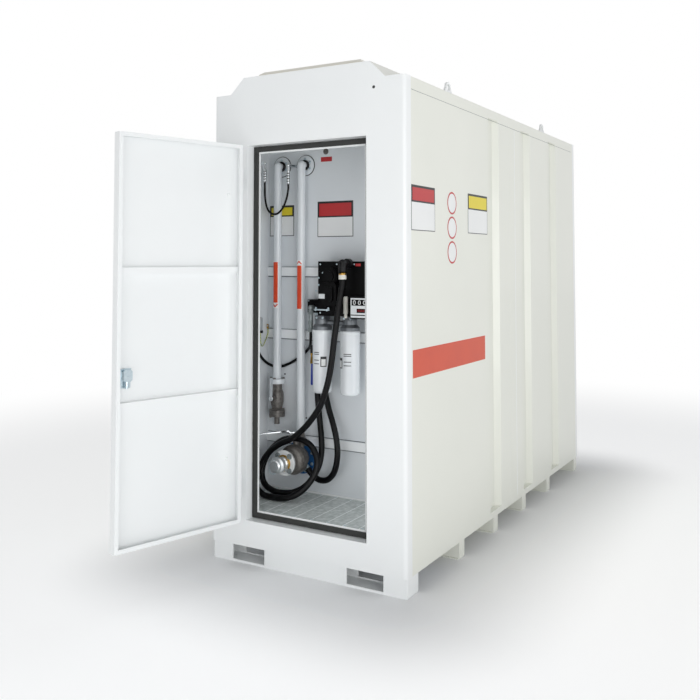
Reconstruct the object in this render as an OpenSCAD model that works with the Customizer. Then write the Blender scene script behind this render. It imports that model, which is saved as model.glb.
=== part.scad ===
// Double-walled diesel storage tank on a skid, with an equipment compartment behind a hinged front door.
// Millimetres. +Z up, +Y to the back. The origin is on the ground, under the middle of the front bearer.

/* [Overall] */
// Width of the tank body
body_w = 1170; // [1120:5:1500]
// Length of the tank body
body_l = 2930; // [2600:10:4000]
// Height of the roof edge above the ground
roof_z = 2490; // [2440:5:2900]
// Height of the skid under the body
skid_h = 95; // [85:5:160]

/* [Shell] */
// Thickness of the outer sheet
skin = 5; // [4:0.5:6]
// Radius of the rounded vertical corners
corner_r = 20; // [14:1:30]
// How far the corner sheets reach along each side
corner_return = 60; // [40:5:90]
// How far the roof's hump rises above the roof edge
hump_rise = 85; // [50:5:120]
// Flat shoulder between the roof edge and the hump
shoulder_w = 110; // [80:5:150]
// Sideways run of the hump's slope
hump_run = 87; // [50:1:120]
// Thickness of the roof sheet
roof_t = 5; // [4:0.5:6]

/* [Roof lid] */
// Width of the lid
lid_w = 640; // [500:5:700]
// Length of the lid
lid_l = 620; // [500:5:900]
// Height of the lid
lid_h = 32; // [20:1:50]
// Distance from the front face to the lid
lid_front = 45; // [20:1:120]
// Run of the lid's slanted edges
lid_slope = 20; // [10:1:30]
// Wall of the lid
lid_t = 5; // [3:0.5:8]

/* [Lifting lugs] */
// Distance from the front face to the front lugs
lug_front = 556; // [300:1:900]
// Distance from the front face to the rear lugs
lug_rear = 2183; // [1900:1:2300]
// Length of a lug's foot
lug_l = 110; // [90:1:140]
// Height of a lug
lug_h = 62; // [58:1:80]
// Thickness of a lug
lug_t = 12; // [8:1:16]
// Radius of a lug's rounded top
lug_r = 30; // [28:1:34]
// Radius of a lug's eye
eye_r = 18; // [14:0.5:20]

/* [Side panels] */
// Number of pressed grooves on each side
groove_n = 3; // [1:1:4]
// Distance from the front face to the first groove's middle
groove_first = 1174; // [1100:5:1250]
// Distance between groove middles
groove_pitch = 585; // [400:5:620]
// Width of a groove at the surface
groove_w = 179; // [120:1:240]
// Depth of a groove
groove_d = 36; // [20:1:42]
// Run of a groove's slanted sides
groove_run = 26; // [10:1:40]
// Height of the top rail
rail_top_h = 50; // [40:1:80]
// Height of the bottom rail
rail_low_h = 35; // [25:1:60]
// Depth of both rails
rail_d = 48; // [46:1:60]
// Wall of the rails
rail_t = 4; // [3:0.5:5]

/* [Skid] */
// Depth of the front bearer
front_bearer_d = 120; // [100:5:160]
// How far the front bearer stands behind the front face
front_overhang = 16; // [5:1:40]
// Number of bearers
bearer_n = 6; // [6:1:6]
// Distance between the bearers behind the front one
bearer_pitch = 507; // [400:1:700]
// Distance from the front face to the second bearer's middle
bearer_second = 672; // [500:5:800]
// Distance from the rear face to the rear bearer's middle
bearer_last = 62; // [50:1:200]
// Width of a middle bearer
bearer_d = 68; // [50:1:100]
// Width of each foot flange
bearer_foot = 10; // [6:1:20]
// Thickness of the bearer plate
bearer_t = 6; // [5:0.5:8]
// How far the bearers stand in from the sides
bearer_inset = 14; // [5:1:40]
// Width of a fork pocket
pocket_w = 205; // [160:5:230]
// Distance between the fork pockets' middles
pocket_pitch = 700; // [600:5:760]
// Height of the strap under a fork pocket
pocket_strap = 12; // [10:1:20]
// Thickness of the bund floor plate
base_t = 6; // [5:0.5:8]

/* [Door opening] */
// Distance from the opening to the left side
open_side = 228; // [200:1:250]
// Distance from the opening to the right side
open_right = 216; // [180:1:260]
// Height of the sill above the skid
sill_h = 135; // [110:5:160]
// Distance from the roof edge down to the opening
open_drop = 285; // [270:5:400]
// Depth of the jamb behind the front face
jamb_d = 62; // [60:1:80]
// Width of the jamb's inner lip
jamb_lip = 40; // [36:1:46]
// Thickness of the jamb sheet
jamb_t = 3; // [2:0.5:4]
// Width of the rubber seal
seal_w = 28; // [20:1:32]
// Thickness of the rubber seal
seal_t = 8; // [6:1:10]

/* [Door] */
// Angle at which the door stands open
door_open = 106; // [0:1:120]
// Gap round the closed door
door_gap = 6; // [5:0.5:10]
// Depth of the door pan
door_d = 46; // [36:1:50]
// Thickness of the door sheet
door_t = 4; // [3:0.5:5]
// Width of the door's inner flange
door_flange = 20; // [15:1:30]
// Height of the upper rib above the door's bottom edge
rib_up_z = 1290; // [1200:5:1400]
// Height of the lower rib above the door's bottom edge
rib_low_z = 655; // [500:5:700]
// Height of a rib
rib_h = 32; // [20:1:50]
// How far a rib stands out of the door sheet
rib_d = 24; // [15:1:32]
// Height of the lock above the door's bottom edge
lock_z = 785; // [700:5:1000]
// Distance of the hinge pin in front of the front face
pin_out = 13; // [12:0.5:20]
// Distance of the hinge pin beside the opening
pin_side = 30; // [24:1:40]
// Radius of a hinge knuckle
knuckle_r = 9; // [8:0.5:12]
// Radius of a hinge pin
pin_r = 5; // [4:0.5:6]
// Length of a hinge
hinge_l = 120; // [90:5:160]

/* [Compartment] */
// Distance from the front face to the bulkhead
bulk_y = 500; // [490:1:560]
// Thickness of the bulkhead
bulk_t = 5; // [4:0.5:6]
// Height of the floor deck above the skid
deck_h = 173; // [150:1:200]
// Thickness of the floor deck
deck_t = 4; // [3:0.5:6]
// Top edge of the upper bulkhead rail above the ground
bulk_rail_top = 1552; // [1540:1:1580]
// Top edge of the middle rail
bulk_rail_mid = 1188; // [1150:1:1188]
// Top edge of the lower rail
bulk_rail_low = 586; // [575:1:600]
// Height of a bulkhead rail
bulk_rail_h = 52; // [30:1:60]
// Depth of a bulkhead rail
bulk_rail_d = 12; // [8:1:12]

/* [Inner tank] */
// Distance of the inner tank from the side grooves
inner_gap = 30; // [20:1:60]
// Distance of the inner tank from the bulkhead and the rear wall
inner_end = 55; // [40:1:100]
// Height of the inner tank above the bund floor
inner_lift = 60; // [40:1:100]
// Free height over the inner tank
inner_drop = 105; // [80:1:200]
// Wall of the inner tank
inner_t = 5; // [4:0.5:6]

/* [Pipes] */
// Outer radius of the two pipes
pipe_r = 24; // [20:0.5:26]
// Wall of the pipes
pipe_wall = 3; // [2.5:0.5:5]
// Distance of the pipes' axes in front of the bulkhead
pipe_off = 48; // [46:1:50]
// Distance from the left side to the supply pipe
supply_x = 105; // [90:1:120]
// Distance from the left side to the fill pipe
fill_x = 271; // [255:1:285]
// Distance from the roof edge down to the pipes' bends
pipe_drop = 345; // [340:1:380]
// Radius of the stub through the flange
stub_r = 20; // [16:0.5:21]
// Radius of the wall flanges
flange_r = 46; // [40:1:48]
// Thickness of the wall flanges
flange_t = 10; // [6:1:12]
// Radius of the rubber plugs
plug_r = 30; // [26:1:34]
// Height of the supply valve's top above the ground
valve_top_z = 905; // [880:5:930]
// Length of the supply valve
valve_l = 260; // [240:5:280]
// Height of the fill coupling's axis above the ground
fill_z = 473; // [460:1:480]
// Length of the fill valve's body
fill_valve_l = 172; // [160:1:180]
// Radius of the blue ring
ring_r = 94; // [88:1:100]
// Thickness of the blue ring
ring_t = 12; // [8:1:16]
// Length of the supply lever
supply_lever_l = 118; // [90:1:140]
// Length of the fill lever
fill_lever_l = 240; // [180:1:245]
// How far the fill lever stands turned to the left
fill_lever_turn = 30; // [0:1:80]

/* [Pump set] */
// Distance from the left side to the pump cabinet
cab_x0 = 437; // [437:1:450]
// Width of the cabinet
cab_w = 460; // [420:5:480]
// Bottom edge of the cabinet above the ground
cab_z0 = 1285; // [1280:5:1300]
// Height of the cabinet
cab_h = 301; // [290:1:330]
// Depth of the cabinet
cab_d = 118; // [110:1:120]
// Radius of a filter
filter_r = 57; // [50:1:58]
// Length of a filter
filter_l = 349; // [300:1:360]
// Height of a filter head
head_h = 78; // [70:1:85]
// Distance from the left side to the first filter
filter_x = 449; // [449:1:455]
// Distance between the filters
filter_pitch = 178; // [150:1:190]
// Distance of the filters' axes in front of the bulkhead
filter_off = 100; // [100:1:104]
// Radius of the delivery and suction hoses
hose_r = 17; // [15:0.5:17]

/* [Hidden] */
$fn = 48;
eps = 0.01;

half_w = body_w / 2;
front_y = -(front_bearer_d / 2 + front_overhang);
open_x0 = open_side - half_w;
open_x1 = half_w - open_right;
open_w = open_x1 - open_x0;
open_z0 = skid_h + sill_h;
open_z1 = roof_z - open_drop;
open_h = open_z1 - open_z0;
wall_z0 = skid_h;
deck_z = skid_h + deck_h;
bend_z = roof_z - pipe_drop;
cab_front = bulk_rail_d + cab_d;
rail_top_z = roof_z - roof_t - rail_top_h;
door_w = open_w - 2 * door_gap;
door_h = open_h - 2 * door_gap;
pin_x = open_x0 - pin_side;
last_y = body_l - bearer_last;
steel = [0.78, 0.80, 0.82];
white = [0.93, 0.94, 0.94];
cream = [0.90, 0.89, 0.85];
black = [0.06, 0.06, 0.07];

// Play between pieces that seat on each other
seat_gap = 0.3;
plug_gap = 0.5;
plug_edge = 3;
seal_in = 3;
rib_t = 3;

// Sizes of the door lock, its bent plate and its grip
lock_side = 40;
lock_plate = [52, 5, 92];
lock_lip = 14;
lock_case = [46, 26, 56];
lock_bevel = 9;
lock_shaft_r = 8;
lock_stub_r = 9;
lock_stub_l = 32;
grip_reach = 24;
grip_l = 150;
grip_w = 24;
grip_t = 8;

// Hinges: their heights, leaves and straps
hinge_inset = 180;
hinge_z = [open_z0 + hinge_inset, (open_z0 + open_z1) / 2, open_z1 - hinge_inset];
knuckle_gap = 1;
knuckle_l = hinge_l / 3;
leaf_t = 4;
leaf_w = 40;
leaf_lap = 3;
pin_play = 0.05;
strap_t = 5;
strap_l = 40;

// Supply valve, from its tail up to the collar under the pipe
valve_wall_gap = 2;
valve_mid_z = valve_top_z - 108;
valve_tail_z = valve_top_z - valve_l;
valve_flange_r = pipe_off - valve_wall_gap;
valve_flange_t = 17;
valve_body_r = 38;
valve_neck_r = 29;
valve_tail_r = 16;
valve_bolt_r = 7;
valve_bolt_h = 8;
valve_tail_l = 45;
valve_joint = [4, 3];
valve_foot = 8;
valve_body_l = 56;
valve_taper = 20;
valve_collar_h = 26;
valve_boss_r = 20;
valve_stem_reach = 52;

// Levers
lever_gap = 0.3;
lever_hub_r = 14;
lever_w = 18;
lever_t = 5;
crank_start = 40;
crank_rise = 12;
lever_rise = 46;
lever_nut_h = 8;

// Fill valve: neck under the pipe, ring, body and stem
neck_top_z = fill_z + 142;
neck_r = 23;
ring_back = bulk_rail_d;
ring_front = ring_back + ring_t;
ring_bore_r = 40.3;
fill_end = ring_front + fill_valve_l;
stem_off = 95;
stem_r = 17;
pad_z = fill_z + 99.5;
fill_hub_r = 56;
fill_belly_r = 82;
fill_face_r = 64;
fill_face_t = 20;
fill_flange_t = 18;
fill_flange_in = 8;
fill_hub_l = 36;
fill_neck_l = 42;
belly_in = 8;
belly_rise = [8, 20];
belly_fall = [16, 28];
fill_bolt_r = 6;
fill_bolt_h = 8;
fill_bolt_in = 9;

// Fill coupling
face_plate_t = 14;
spigot_r = 36;
spigot_l = 62;
cap_r = 44;
cap_l = 22;
nose_r = 33;
nose_l = 28;
ear_w = 14;
ear_l = 24;
ear_sink = 6;
groove_back = 24;
groove_in = [5, 4, 12, 16];
cap_edge = 3;
nose_edge = 6;
coupling_bolt_r = 7;
coupling_bolt_h = 8;
coupling_bolt_in = 13;

// Cabinet front, pump and meter
panel_t = 3;
panel_edge = 8;
pump_x = cab_x0 + 99;
pump_z = cab_z0 + 219;
pump_r = 56;
pump_l = 46;
pump_rim_t = 14;
pump_rim_w = 8;
pump_crown = 10;
rib_n = 3;
rib_start = 18;
rib_pitch = 9;
rib_in = 4;
rib_step = 5;
pump_rib_t = 4;
pump_lap = 22;
pump_body = [104, 52, 128];
pump_bevel = 14;
pump_pad = [64, 8, 82];
pump_pad_bevel = 10;
pump_port = [30, 17, 20];
pump_port_lap = 6;
meter_x = cab_x0 + 248;
meter_size = [150, 75, 120];
meter_low = 6;
bezel_d = 8;
bezel_in = 6;
window_depth = 4;
window_1 = [72, 122, 32];
window_2 = [34, 60, 22];

// Filter heads
head_r = filter_r - 4;
port_r = 14;
head_rim_h = 18;
head_slope = 16;
head_in = 14;
head_block_w = 60;
head_block_h = 24;
seam_h = 14;
seam_edge = 4;

// Nozzle
nozzle_x = 639;
nozzle_off = 200;
nozzle_z = cab_z0 + 205;
nozzle_outline = [
    [0, 0], [18, 0], [20, 6], [20, 24], [15, 30], [15, 36], [22, 40], [24, 70], [20, 96],
    [12, 104], [0, 108],
];
spout_z = 84;
spout_r = 17;
boot = [27, 26];
guard = [7, 30, 62];
guard_out = 38;
guard_z = 30;
guard_bar = 6;

// Hose outlets, junction box and the elbow of the return hose
outlet_x = [370, 415];
outlet_off = 30;
outlet_z = 990;
outlet_sleeve = [19, 60];
outlet_taper = 12;
outlet_pipe_r = 13;
outlet_clip = [18, 22];
stub_l = 24;
stub_turn = 135;
box_low = [330, -70, cab_z0 + 11];
box_high = [432, 0, cab_z0 + 85];
elbow_x = 368;
elbow_off = 95;
elbow_r = 16;
elbow_z = box_low[2] + 28;
nut_h = 20;
union_l = 42;

// Drying canister and the ends of the vent hose
canister_x = 42;
canister_off = 160;
canister_r = 34;
canister_z = 1160;
canister_l = 106;
canister_port = [10, 15];
canister_band = 14;
canister_round = 8;
bracket_w = 24;
bracket_z = [44, 80];
sleeve_r = 10;
sleeve_pitch = 15;
sleeve_h = 10;
fitting_l = 110;
lug_plate = [10, 4, 24];
stud_z = 15;
stud_r = 4;
stud_l = 24;

// Route of the delivery hose: down from the nozzle, twice round the fill valve, and up to its outlet.
// Routes are measured from the left side, in front of the bulkhead and above the ground.
delivery_route = [
    [639, -200, 1490], [639, -200, 1465], [625, -203, 1380], [610, -208, 1280], [595, -214, 1160],
    [581, -219, 1040], [556, -221, 920], [507, -214, 805], [430, -200, 710], [350, -183, 640],
    [275, -170, 592], [205, -166, 559], [145, -172, 514], [105, -186, 455], [86, -208, 385],
    [98, -230, 322], [150, -240, 290], [225, -242, 286], [300, -237, 291], [362, -221, 316],
    [410, -190, 364], [437, -153, 430], [435, -133, 498], [396, -126, 559], [337, -128, 589],
    [271, -130, 593], [200, -130, 575], [135, -135, 524], [92, -144, 460], [80, -158, 388],
    [108, -171, 330], [170, -183, 304], [240, -187, 300], [315, -177, 312], [380, -148, 354],
    [419, -106, 430], [427, -76, 504], [417, -57, 585], [396, -41, 680], [377, -31, 785],
    [370, -30, 900], [370, -30, 990],
];

// Route of the suction hose: from under the fill valve, out to the right and up to its outlet
suction_route = [
    [328, -60, 416], [359, -60, 386], [405, -60, 364], [459, -64, 372], [503, -71, 412],
    [529, -79, 472], [537, -82, 540], [525, -76, 612], [497, -64, 684], [461, -48, 755],
    [432, -36, 832], [415, -30, 910], [415, -30, 990],
];

// Route of the return hose: from under the canister, down and behind both pipes, and up to its elbow
return_r = 8;
return_route = [
    [42, -160, 1160], [42, -160, 1125], [38, -142, 1068], [36, -104, 1026], [44, -56, 989],
    [70, -17, 969], [120, -11, 974], [185, -11, 1001], [245, -11, 1038], [300, -21, 1080],
    [338, -54, 1108], [368, -95, 1158], [368, -95, 1190],
];

// Route of the vent hose: a hanging loop in front of the supply pipe
vent_r = 6;
vent_route = [
    [48, -100, 2051], [48, -100, 2015], [51, -101, 1960], [65, -103, 1903], [95, -105, 1867],
    [138, -105, 1861], [177, -103, 1892], [203, -101, 1946], [214, -100, 2000], [214, -100, 2031],
];

// Route of the earth wire: from the canister's band to the lug on the bulkhead
wire_r = 2.5;
earth_route = [
    [60, -150, 1175], [60, -150, 1155], [50, -134, 1113], [34, -98, 1093], [20, -56, 1110],
    [14, -17, 1158], [14, -17, 1190],
];

// Everything is placed by its distance behind the front face
module from_front() {
    translate([0, front_y, 0]) children();
}

// The equipment is placed by its distance from the left side and in front of the bulkhead
module at_bulkhead() {
    from_front() translate([-half_w, bulk_y, 0]) children();
}

// A turned piece on an axis that points to the front; outline: [radius, distance from the bulkhead]
module turned_forward(x, z) {
    at_bulkhead() translate([x, 0, z]) rotate([90, 0, 0]) rotate_extrude() children();
}

// A box given by its lowest and highest corners
module block(low, high) {
    translate(low) cube(high - low);
}

// An outline in the X-Z plane, drawn out towards the back from y0 to y1
module wall_xz(y0, y1) {
    translate([0, y1, 0]) rotate([90, 0, 0]) linear_extrude(y1 - y0) children();
}

// Outline of the front and rear: a box with the roof's hump on top, from z0 up, set in by side and top
module end_outline(z0, side = 0, top = 0) {
    edge = half_w - side;
    base = half_w - shoulder_w;
    crown = base - hump_run;
    polygon([
        [-edge, z0], [edge, z0], [edge, roof_z - top], [base, roof_z - top],
        [crown, roof_z + hump_rise - top], [-crown, roof_z + hump_rise - top],
        [-base, roof_z - top], [-edge, roof_z - top],
    ]);
}

// The same outline above the opening: the middle of the front, with the hump over the posts
module header_outline() {
    base = half_w - shoulder_w;
    crown = base - hump_run;
    polygon([
        [open_x0, open_z1], [open_x1, open_z1], [open_x1, roof_z], [base, roof_z],
        [crown, roof_z + hump_rise], [-crown, roof_z + hump_rise], [-base, roof_z], [open_x0, roof_z],
    ]);
}

// Plan of one rounded corner sheet, on the right side, from x0 out to the side and back along it
module corner_plan(x0) {
    difference() {
        union() {
            translate([x0, 0]) square([half_w - corner_r - x0, skin]);
            translate([half_w - skin, corner_r]) square([skin, corner_return - corner_r]);
            intersection() {
                translate([half_w - corner_r, corner_r]) circle(corner_r);
                translate([half_w - corner_r, 0]) square(corner_r);
            }
        }
        translate([half_w - corner_r, corner_r]) circle(corner_r - skin);
    }
}

module post(x0) {
    translate([0, 0, wall_z0]) linear_extrude(roof_z - wall_z0) corner_plan(x0);
}

module front_left_post() {
    color(white) from_front() mirror([1, 0, 0]) post(-open_x0);
}

module front_right_post() {
    color(white) from_front() post(open_x1);
}

module front_header() {
    color(white) from_front() wall_xz(0, skin) header_outline();
}

module front_sill() {
    color(white) from_front() block([open_x0, 0, wall_z0], [open_x1, skin, open_z0]);
}

// The rear repeats the front without the opening
module rear_wall() {
    hump = [half_w - shoulder_w, half_w - shoulder_w - hump_run];
    color(white) from_front() translate([0, body_l, 0]) mirror([0, 1, 0]) {
        for (side = [0, 1]) mirror([side, 0, 0]) post(0);
        wall_xz(0, skin) polygon([
            [-hump[0], roof_z - 1], [hump[0], roof_z - 1], [hump[0], roof_z],
            [hump[1], roof_z + hump_rise], [-hump[1], roof_z + hump_rise], [-hump[0], roof_z],
        ]);
    }
}

function groove_y(i) = groove_first + i * groove_pitch;

// Points along a side panel's face, x measured outwards from the face
function groove_line(shift) = [for (i = [0:groove_n - 1])
    for (p = [[0, -groove_w / 2], [-groove_d, -groove_w / 2 + groove_run],
              [-groove_d, groove_w / 2 - groove_run], [0, groove_w / 2]])
        [half_w + p[0] - shift, groove_y(i) + p[1]]];

module side_panel() {
    outer = concat([[half_w, corner_return]], groove_line(0), [[half_w, body_l - corner_return]]);
    inner = concat([[half_w - skin, corner_return]], groove_line(skin),
                   [[half_w - skin, body_l - corner_return]]);
    back = [for (i = [len(inner) - 1:-1:0]) inner[i]];
    translate([0, 0, wall_z0 + rail_low_h])
        linear_extrude(rail_top_z - wall_z0 - rail_low_h) polygon(concat(outer, back));
}

// A hollow rail along the side, flush with the panel's face
module side_rail(z0, h) {
    from_front() difference() {
        block([half_w - rail_d, corner_return, z0], [half_w, body_l - corner_return, z0 + h]);
        block([half_w - rail_d + rail_t, corner_return - 1, z0 + rail_t],
              [half_w - rail_t, body_l - corner_return + 1, z0 + h - rail_t]);
    }
}

module right_side_panel() {
    color(cream) from_front() side_panel();
}

module left_side_panel() {
    color(cream) mirror([1, 0, 0]) from_front() side_panel();
}

module right_top_rail() {
    color(cream) side_rail(rail_top_z, rail_top_h);
}

module left_top_rail() {
    color(cream) mirror([1, 0, 0]) side_rail(rail_top_z, rail_top_h);
}

module right_bottom_rail() {
    color(cream) side_rail(wall_z0, rail_low_h);
}

module left_bottom_rail() {
    color(cream) mirror([1, 0, 0]) side_rail(wall_z0, rail_low_h);
}

// Plan of the space inside the shell, with its rounded corners, grown inwards by a gap
module inside_plan() {
    r = corner_r - skin;
    x = half_w - skin;
    hull_y = [skin, body_l - skin];
    translate([-x, hull_y[0] + r]) square([2 * x, hull_y[1] - hull_y[0] - 2 * r]);
    translate([-x + r, hull_y[0]]) square([2 * (x - r), hull_y[1] - hull_y[0]]);
    for (side = [-1, 1])
        for (y = [hull_y[0] + r, hull_y[1] - r])
            translate([side * (x - r), y]) circle(r);
}

// Roof sheet: flat shoulders on the rails, bent up into the hump, between the two end walls
module roof_panel() {
    base = half_w - shoulder_w;
    crown = base - hump_run;
    edge = half_w - skin;
    up = [[-edge, 0], [-base, 0], [-crown, hump_rise], [crown, hump_rise], [base, 0], [edge, 0]];
    under = [for (i = [len(up) - 1:-1:0]) up[i] - [0, roof_t]];
    color(cream) from_front() intersection() {
        translate([0, 0, roof_z]) wall_xz(skin, body_l - skin) polygon(concat(up, under));
        translate([0, 0, roof_z - 2 * roof_t]) linear_extrude(hump_rise + 3 * roof_t) inside_plan();
    }
}

// Folded cover over the hatches, open below, with slanted edges
module roof_lid() {
    z = roof_z + hump_rise;
    outer = lid_w / 2;
    color(cream) from_front() translate([0, 0, z]) difference() {
        wall_xz(lid_front, lid_front + lid_l) polygon([
            [-outer, 0], [outer, 0], [outer, lid_h / 2], [outer - lid_slope, lid_h],
            [-outer + lid_slope, lid_h], [-outer, lid_h / 2],
        ]);
        block([-outer + lid_t, lid_front + lid_t, -1],
              [outer - lid_t, lid_front + lid_l - lid_t, lid_h / 2]);
        for (end = [0, 1])
            translate([0, lid_front + end * lid_l, lid_h / 2]) mirror([0, end, 0])
                rotate([atan2(lid_h / 2, lid_slope), 0, 0])
                    block([-outer - 1, -lid_l / 4, 0], [outer + 1, lid_l / 4, lid_h]);
    }
}

// Lifting plate with a round eye, standing on the roof shoulder over the top rail
module lug(side, y) {
    neck = lug_r * 0.8;
    color(white) from_front() translate([side * (half_w - rail_d / 2) - lug_t / 2, y, roof_z])
        rotate([90, 0, 90]) linear_extrude(lug_t) difference() {
            union() {
                polygon([[-lug_l / 2, 0], [lug_l / 2, 0], [neck, lug_h - neck], [-neck, lug_h - neck]]);
                translate([0, lug_h - lug_r]) circle(lug_r);
            }
            translate([0, lug_h - lug_r]) circle(eye_r);
            translate([-lug_l, -lug_l]) square([2 * lug_l, lug_l]);
        }
}

module lug_front_left() {
    lug(-1, lug_front);
}

module lug_front_right() {
    lug(1, lug_front);
}

module lug_rear_left() {
    lug(-1, lug_rear);
}

module lug_rear_right() {
    lug(1, lug_rear);
}

// Fork pockets cut through a bearer
module pockets(y0, y1, z1) {
    for (side = [-1, 1])
        block([side * pocket_pitch / 2 - pocket_w / 2, y0 - 1, pocket_strap],
              [side * pocket_pitch / 2 + pocket_w / 2, y1 + 1, z1]);
}

module front_bearer() {
    y0 = front_overhang;
    y1 = y0 + front_bearer_d;
    x = half_w - bearer_inset;
    color(white) from_front() difference() {
        block([-x, y0, 0], [x, y1, skid_h]);
        block([-x - 1, y0 + bearer_t, bearer_t], [x + 1, y1 - bearer_t, skid_h - bearer_t]);
        pockets(y0, y1, skid_h - bearer_t);
    }
}

// Folded bearer, open below, with a foot flange along each side
module bearer(y) {
    x = half_w - bearer_inset;
    color(white) from_front() translate([0, y, 0]) difference() {
        union() {
            block([-x, -bearer_d / 2, 0], [x, bearer_d / 2, skid_h]);
            block([-x, -bearer_d / 2 - bearer_foot, 0], [x, bearer_d / 2 + bearer_foot, bearer_t]);
        }
        block([-x - 1, -bearer_d / 2 + bearer_t, -1], [x + 1, bearer_d / 2 - bearer_t, skid_h - bearer_t]);
        pockets(-bearer_d / 2, bearer_d / 2, skid_h - bearer_t);
    }
}

module bearer_2() {
    bearer(bearer_second);
}

module bearer_3() {
    bearer(bearer_second + bearer_pitch);
}

module bearer_4() {
    bearer(bearer_second + 2 * bearer_pitch);
}

module bearer_5() {
    bearer(bearer_second + 3 * bearer_pitch);
}

module rear_bearer() {
    bearer(last_y);
}

module base_plate() {
    x = half_w - rail_d;
    color(steel) from_front()
        block([-x, skin, skid_h], [x, body_l - skin, skid_h + base_t]);
}

module bulkhead() {
    x = half_w - skin;
    y = bulk_y;
    color(steel) from_front() {
        wall_xz(y, y + bulk_t) difference() {
            end_outline(skid_h + base_t, skin, roof_t);
            for (side = [-1, 1]) translate([side * (half_w - rail_d / 2), 0]) {
                translate([-rail_d / 2, rail_top_z]) square([rail_d, rail_top_h]);
                translate([-rail_d / 2, wall_z0]) square([rail_d, rail_low_h]);
            }
        }
        for (z = [bulk_rail_top, bulk_rail_mid, bulk_rail_low])
            block([-x, y - bulk_rail_d, z - bulk_rail_h], [x, y + eps, z]);
    }
}

// Floor of the compartment, folded down at both ends and in the middle onto the bund floor
module floor_deck() {
    x = half_w - rail_d - 1;
    y0 = jamb_d + 4;
    y1 = bulk_y - 1;
    base = skid_h + base_t;
    color([0.35, 0.38, 0.36]) from_front() {
        block([-x, y0, deck_z - deck_t], [x, y1, deck_z]);
        for (leg = [-x, -deck_t / 2, x - deck_t])
            block([leg, y0, base], [leg + deck_t, y1, deck_z - deck_t + eps]);
    }
}

// Folded jamb round the opening: a return behind the front face, and a lip that carries the seal
module door_jamb() {
    g = jamb_t;
    color(white) from_front() difference() {
        block([open_x0 - g, skin, open_z0 - g], [open_x1 + g, jamb_d, open_z1 + g]);
        block([open_x0, 0, open_z0], [open_x1, jamb_d - g, open_z1]);
        block([open_x0 + jamb_lip, 0, open_z0 + jamb_lip],
              [open_x1 - jamb_lip, jamb_d + 1, open_z1 - jamb_lip]);
    }
}

module door_seal() {
    y1 = jamb_d - jamb_t;
    color(black) from_front() difference() {
        block([open_x0 + seal_in, y1 - seal_t, open_z0 + seal_in],
              [open_x1 - seal_in, y1, open_z1 - seal_in]);
        block([open_x0 + seal_in + seal_w, 0, open_z0 + seal_in + seal_w],
              [open_x1 - seal_in - seal_w, y1 + 1, open_z1 - seal_in - seal_w]);
    }
}

// Turns a closed door piece about the hinge pins to where it stands
module at_door() {
    from_front() translate([pin_x, -pin_out, 0]) rotate([0, 0, -door_open]) translate([-pin_x, pin_out, 0])
        translate([open_x0 + door_gap, 0, open_z0 + door_gap]) children();
}

module door_pan() {
    t = door_t;
    f = door_flange;
    color(white) at_door() difference() {
        cube([door_w, door_d, door_h]);
        translate([t, t, t]) cube([door_w - 2 * t, door_d - 2 * t, door_h - 2 * t]);
        translate([f, t, f]) cube([door_w - 2 * f, door_d, door_h - 2 * f]);
        translate([door_w - lock_side - lock_plate[0] / 2, -1, lock_z + lock_case[2] / 2])
            rotate([-90, 0, 0]) cylinder(r = lock_shaft_r + seat_gap, h = t + 2);
    }
}

module door_ribs() {
    t = door_t;
    color(white) at_door() for (z = [rib_up_z, rib_low_z])
        translate([t, t, z]) difference() {
            cube([door_w - 2 * t, rib_d, rib_h]);
            translate([-1, -1, rib_t]) cube([door_w, rib_d + 1 - rib_t, rib_h - 2 * rib_t]);
        }
}

// Bolt work on the inside with a bent bracket plate, and the grip on the outside, on one shaft
module door_lock() {
    middle = lock_plate[0] / 2;
    color([0.6, 0.62, 0.64]) at_door() translate([door_w - lock_side - lock_plate[0], door_t, lock_z]) {
        translate([0, 0, -lock_stub_l]) cube(lock_plate);
        translate([0, 0, lock_plate[2] - lock_stub_l - lock_plate[1]])
            cube([lock_plate[0], lock_lip, lock_plate[1]]);
        translate([middle, lock_plate[1], lock_case[2] / 2]) rotate([-90, 0, 0])
            linear_extrude(lock_case[1]) bevelled(lock_case[0], lock_case[2], lock_bevel);
        translate([middle, lock_plate[1] + lock_case[1] / 2, -lock_stub_l])
            cylinder(r = lock_stub_r, h = lock_stub_l + 1);
        translate([middle, -door_t - grip_reach, lock_case[2] / 2]) rotate([-90, 0, 0])
            cylinder(r = lock_shaft_r, h = grip_reach + door_t + 1);
        translate([middle, -door_t - grip_reach, lock_case[2] / 2]) rotate([90, 0, 0])
            linear_extrude(grip_t) bevelled(grip_w, grip_l, lock_bevel / 2);
    }
}

// A rectangle round the origin with its corners cut off
module bevelled(w, h, cut) {
    polygon([
        [-w / 2 + cut, -h / 2], [w / 2 - cut, -h / 2], [w / 2, -h / 2 + cut], [w / 2, h / 2 - cut],
        [w / 2 - cut, h / 2], [-w / 2 + cut, h / 2], [-w / 2, h / 2 - cut], [-w / 2, -h / 2 + cut],
    ]);
}

// Puts a hinge half at each of the three hinge places, on the pin's axis
module at_hinges(turn) {
    from_front() translate([pin_x, -pin_out, 0]) rotate([0, 0, -turn])
        for (z = hinge_z) translate([0, 0, z]) children();
}

// The moving halves: a pin through the knuckles and a strap onto the door's face
module door_hinges() {
    h = knuckle_l - 2 * knuckle_gap;
    color(white) at_hinges(door_open) {
        translate([0, 0, -h / 2]) cylinder(r = knuckle_r, h = h);
        translate([0, 0, -hinge_l / 2]) cylinder(r = pin_r, h = hinge_l);
        translate([0, pin_out - strap_t, -h / 2]) cube([pin_side + door_gap + strap_l, strap_t, h]);
    }
}

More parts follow.
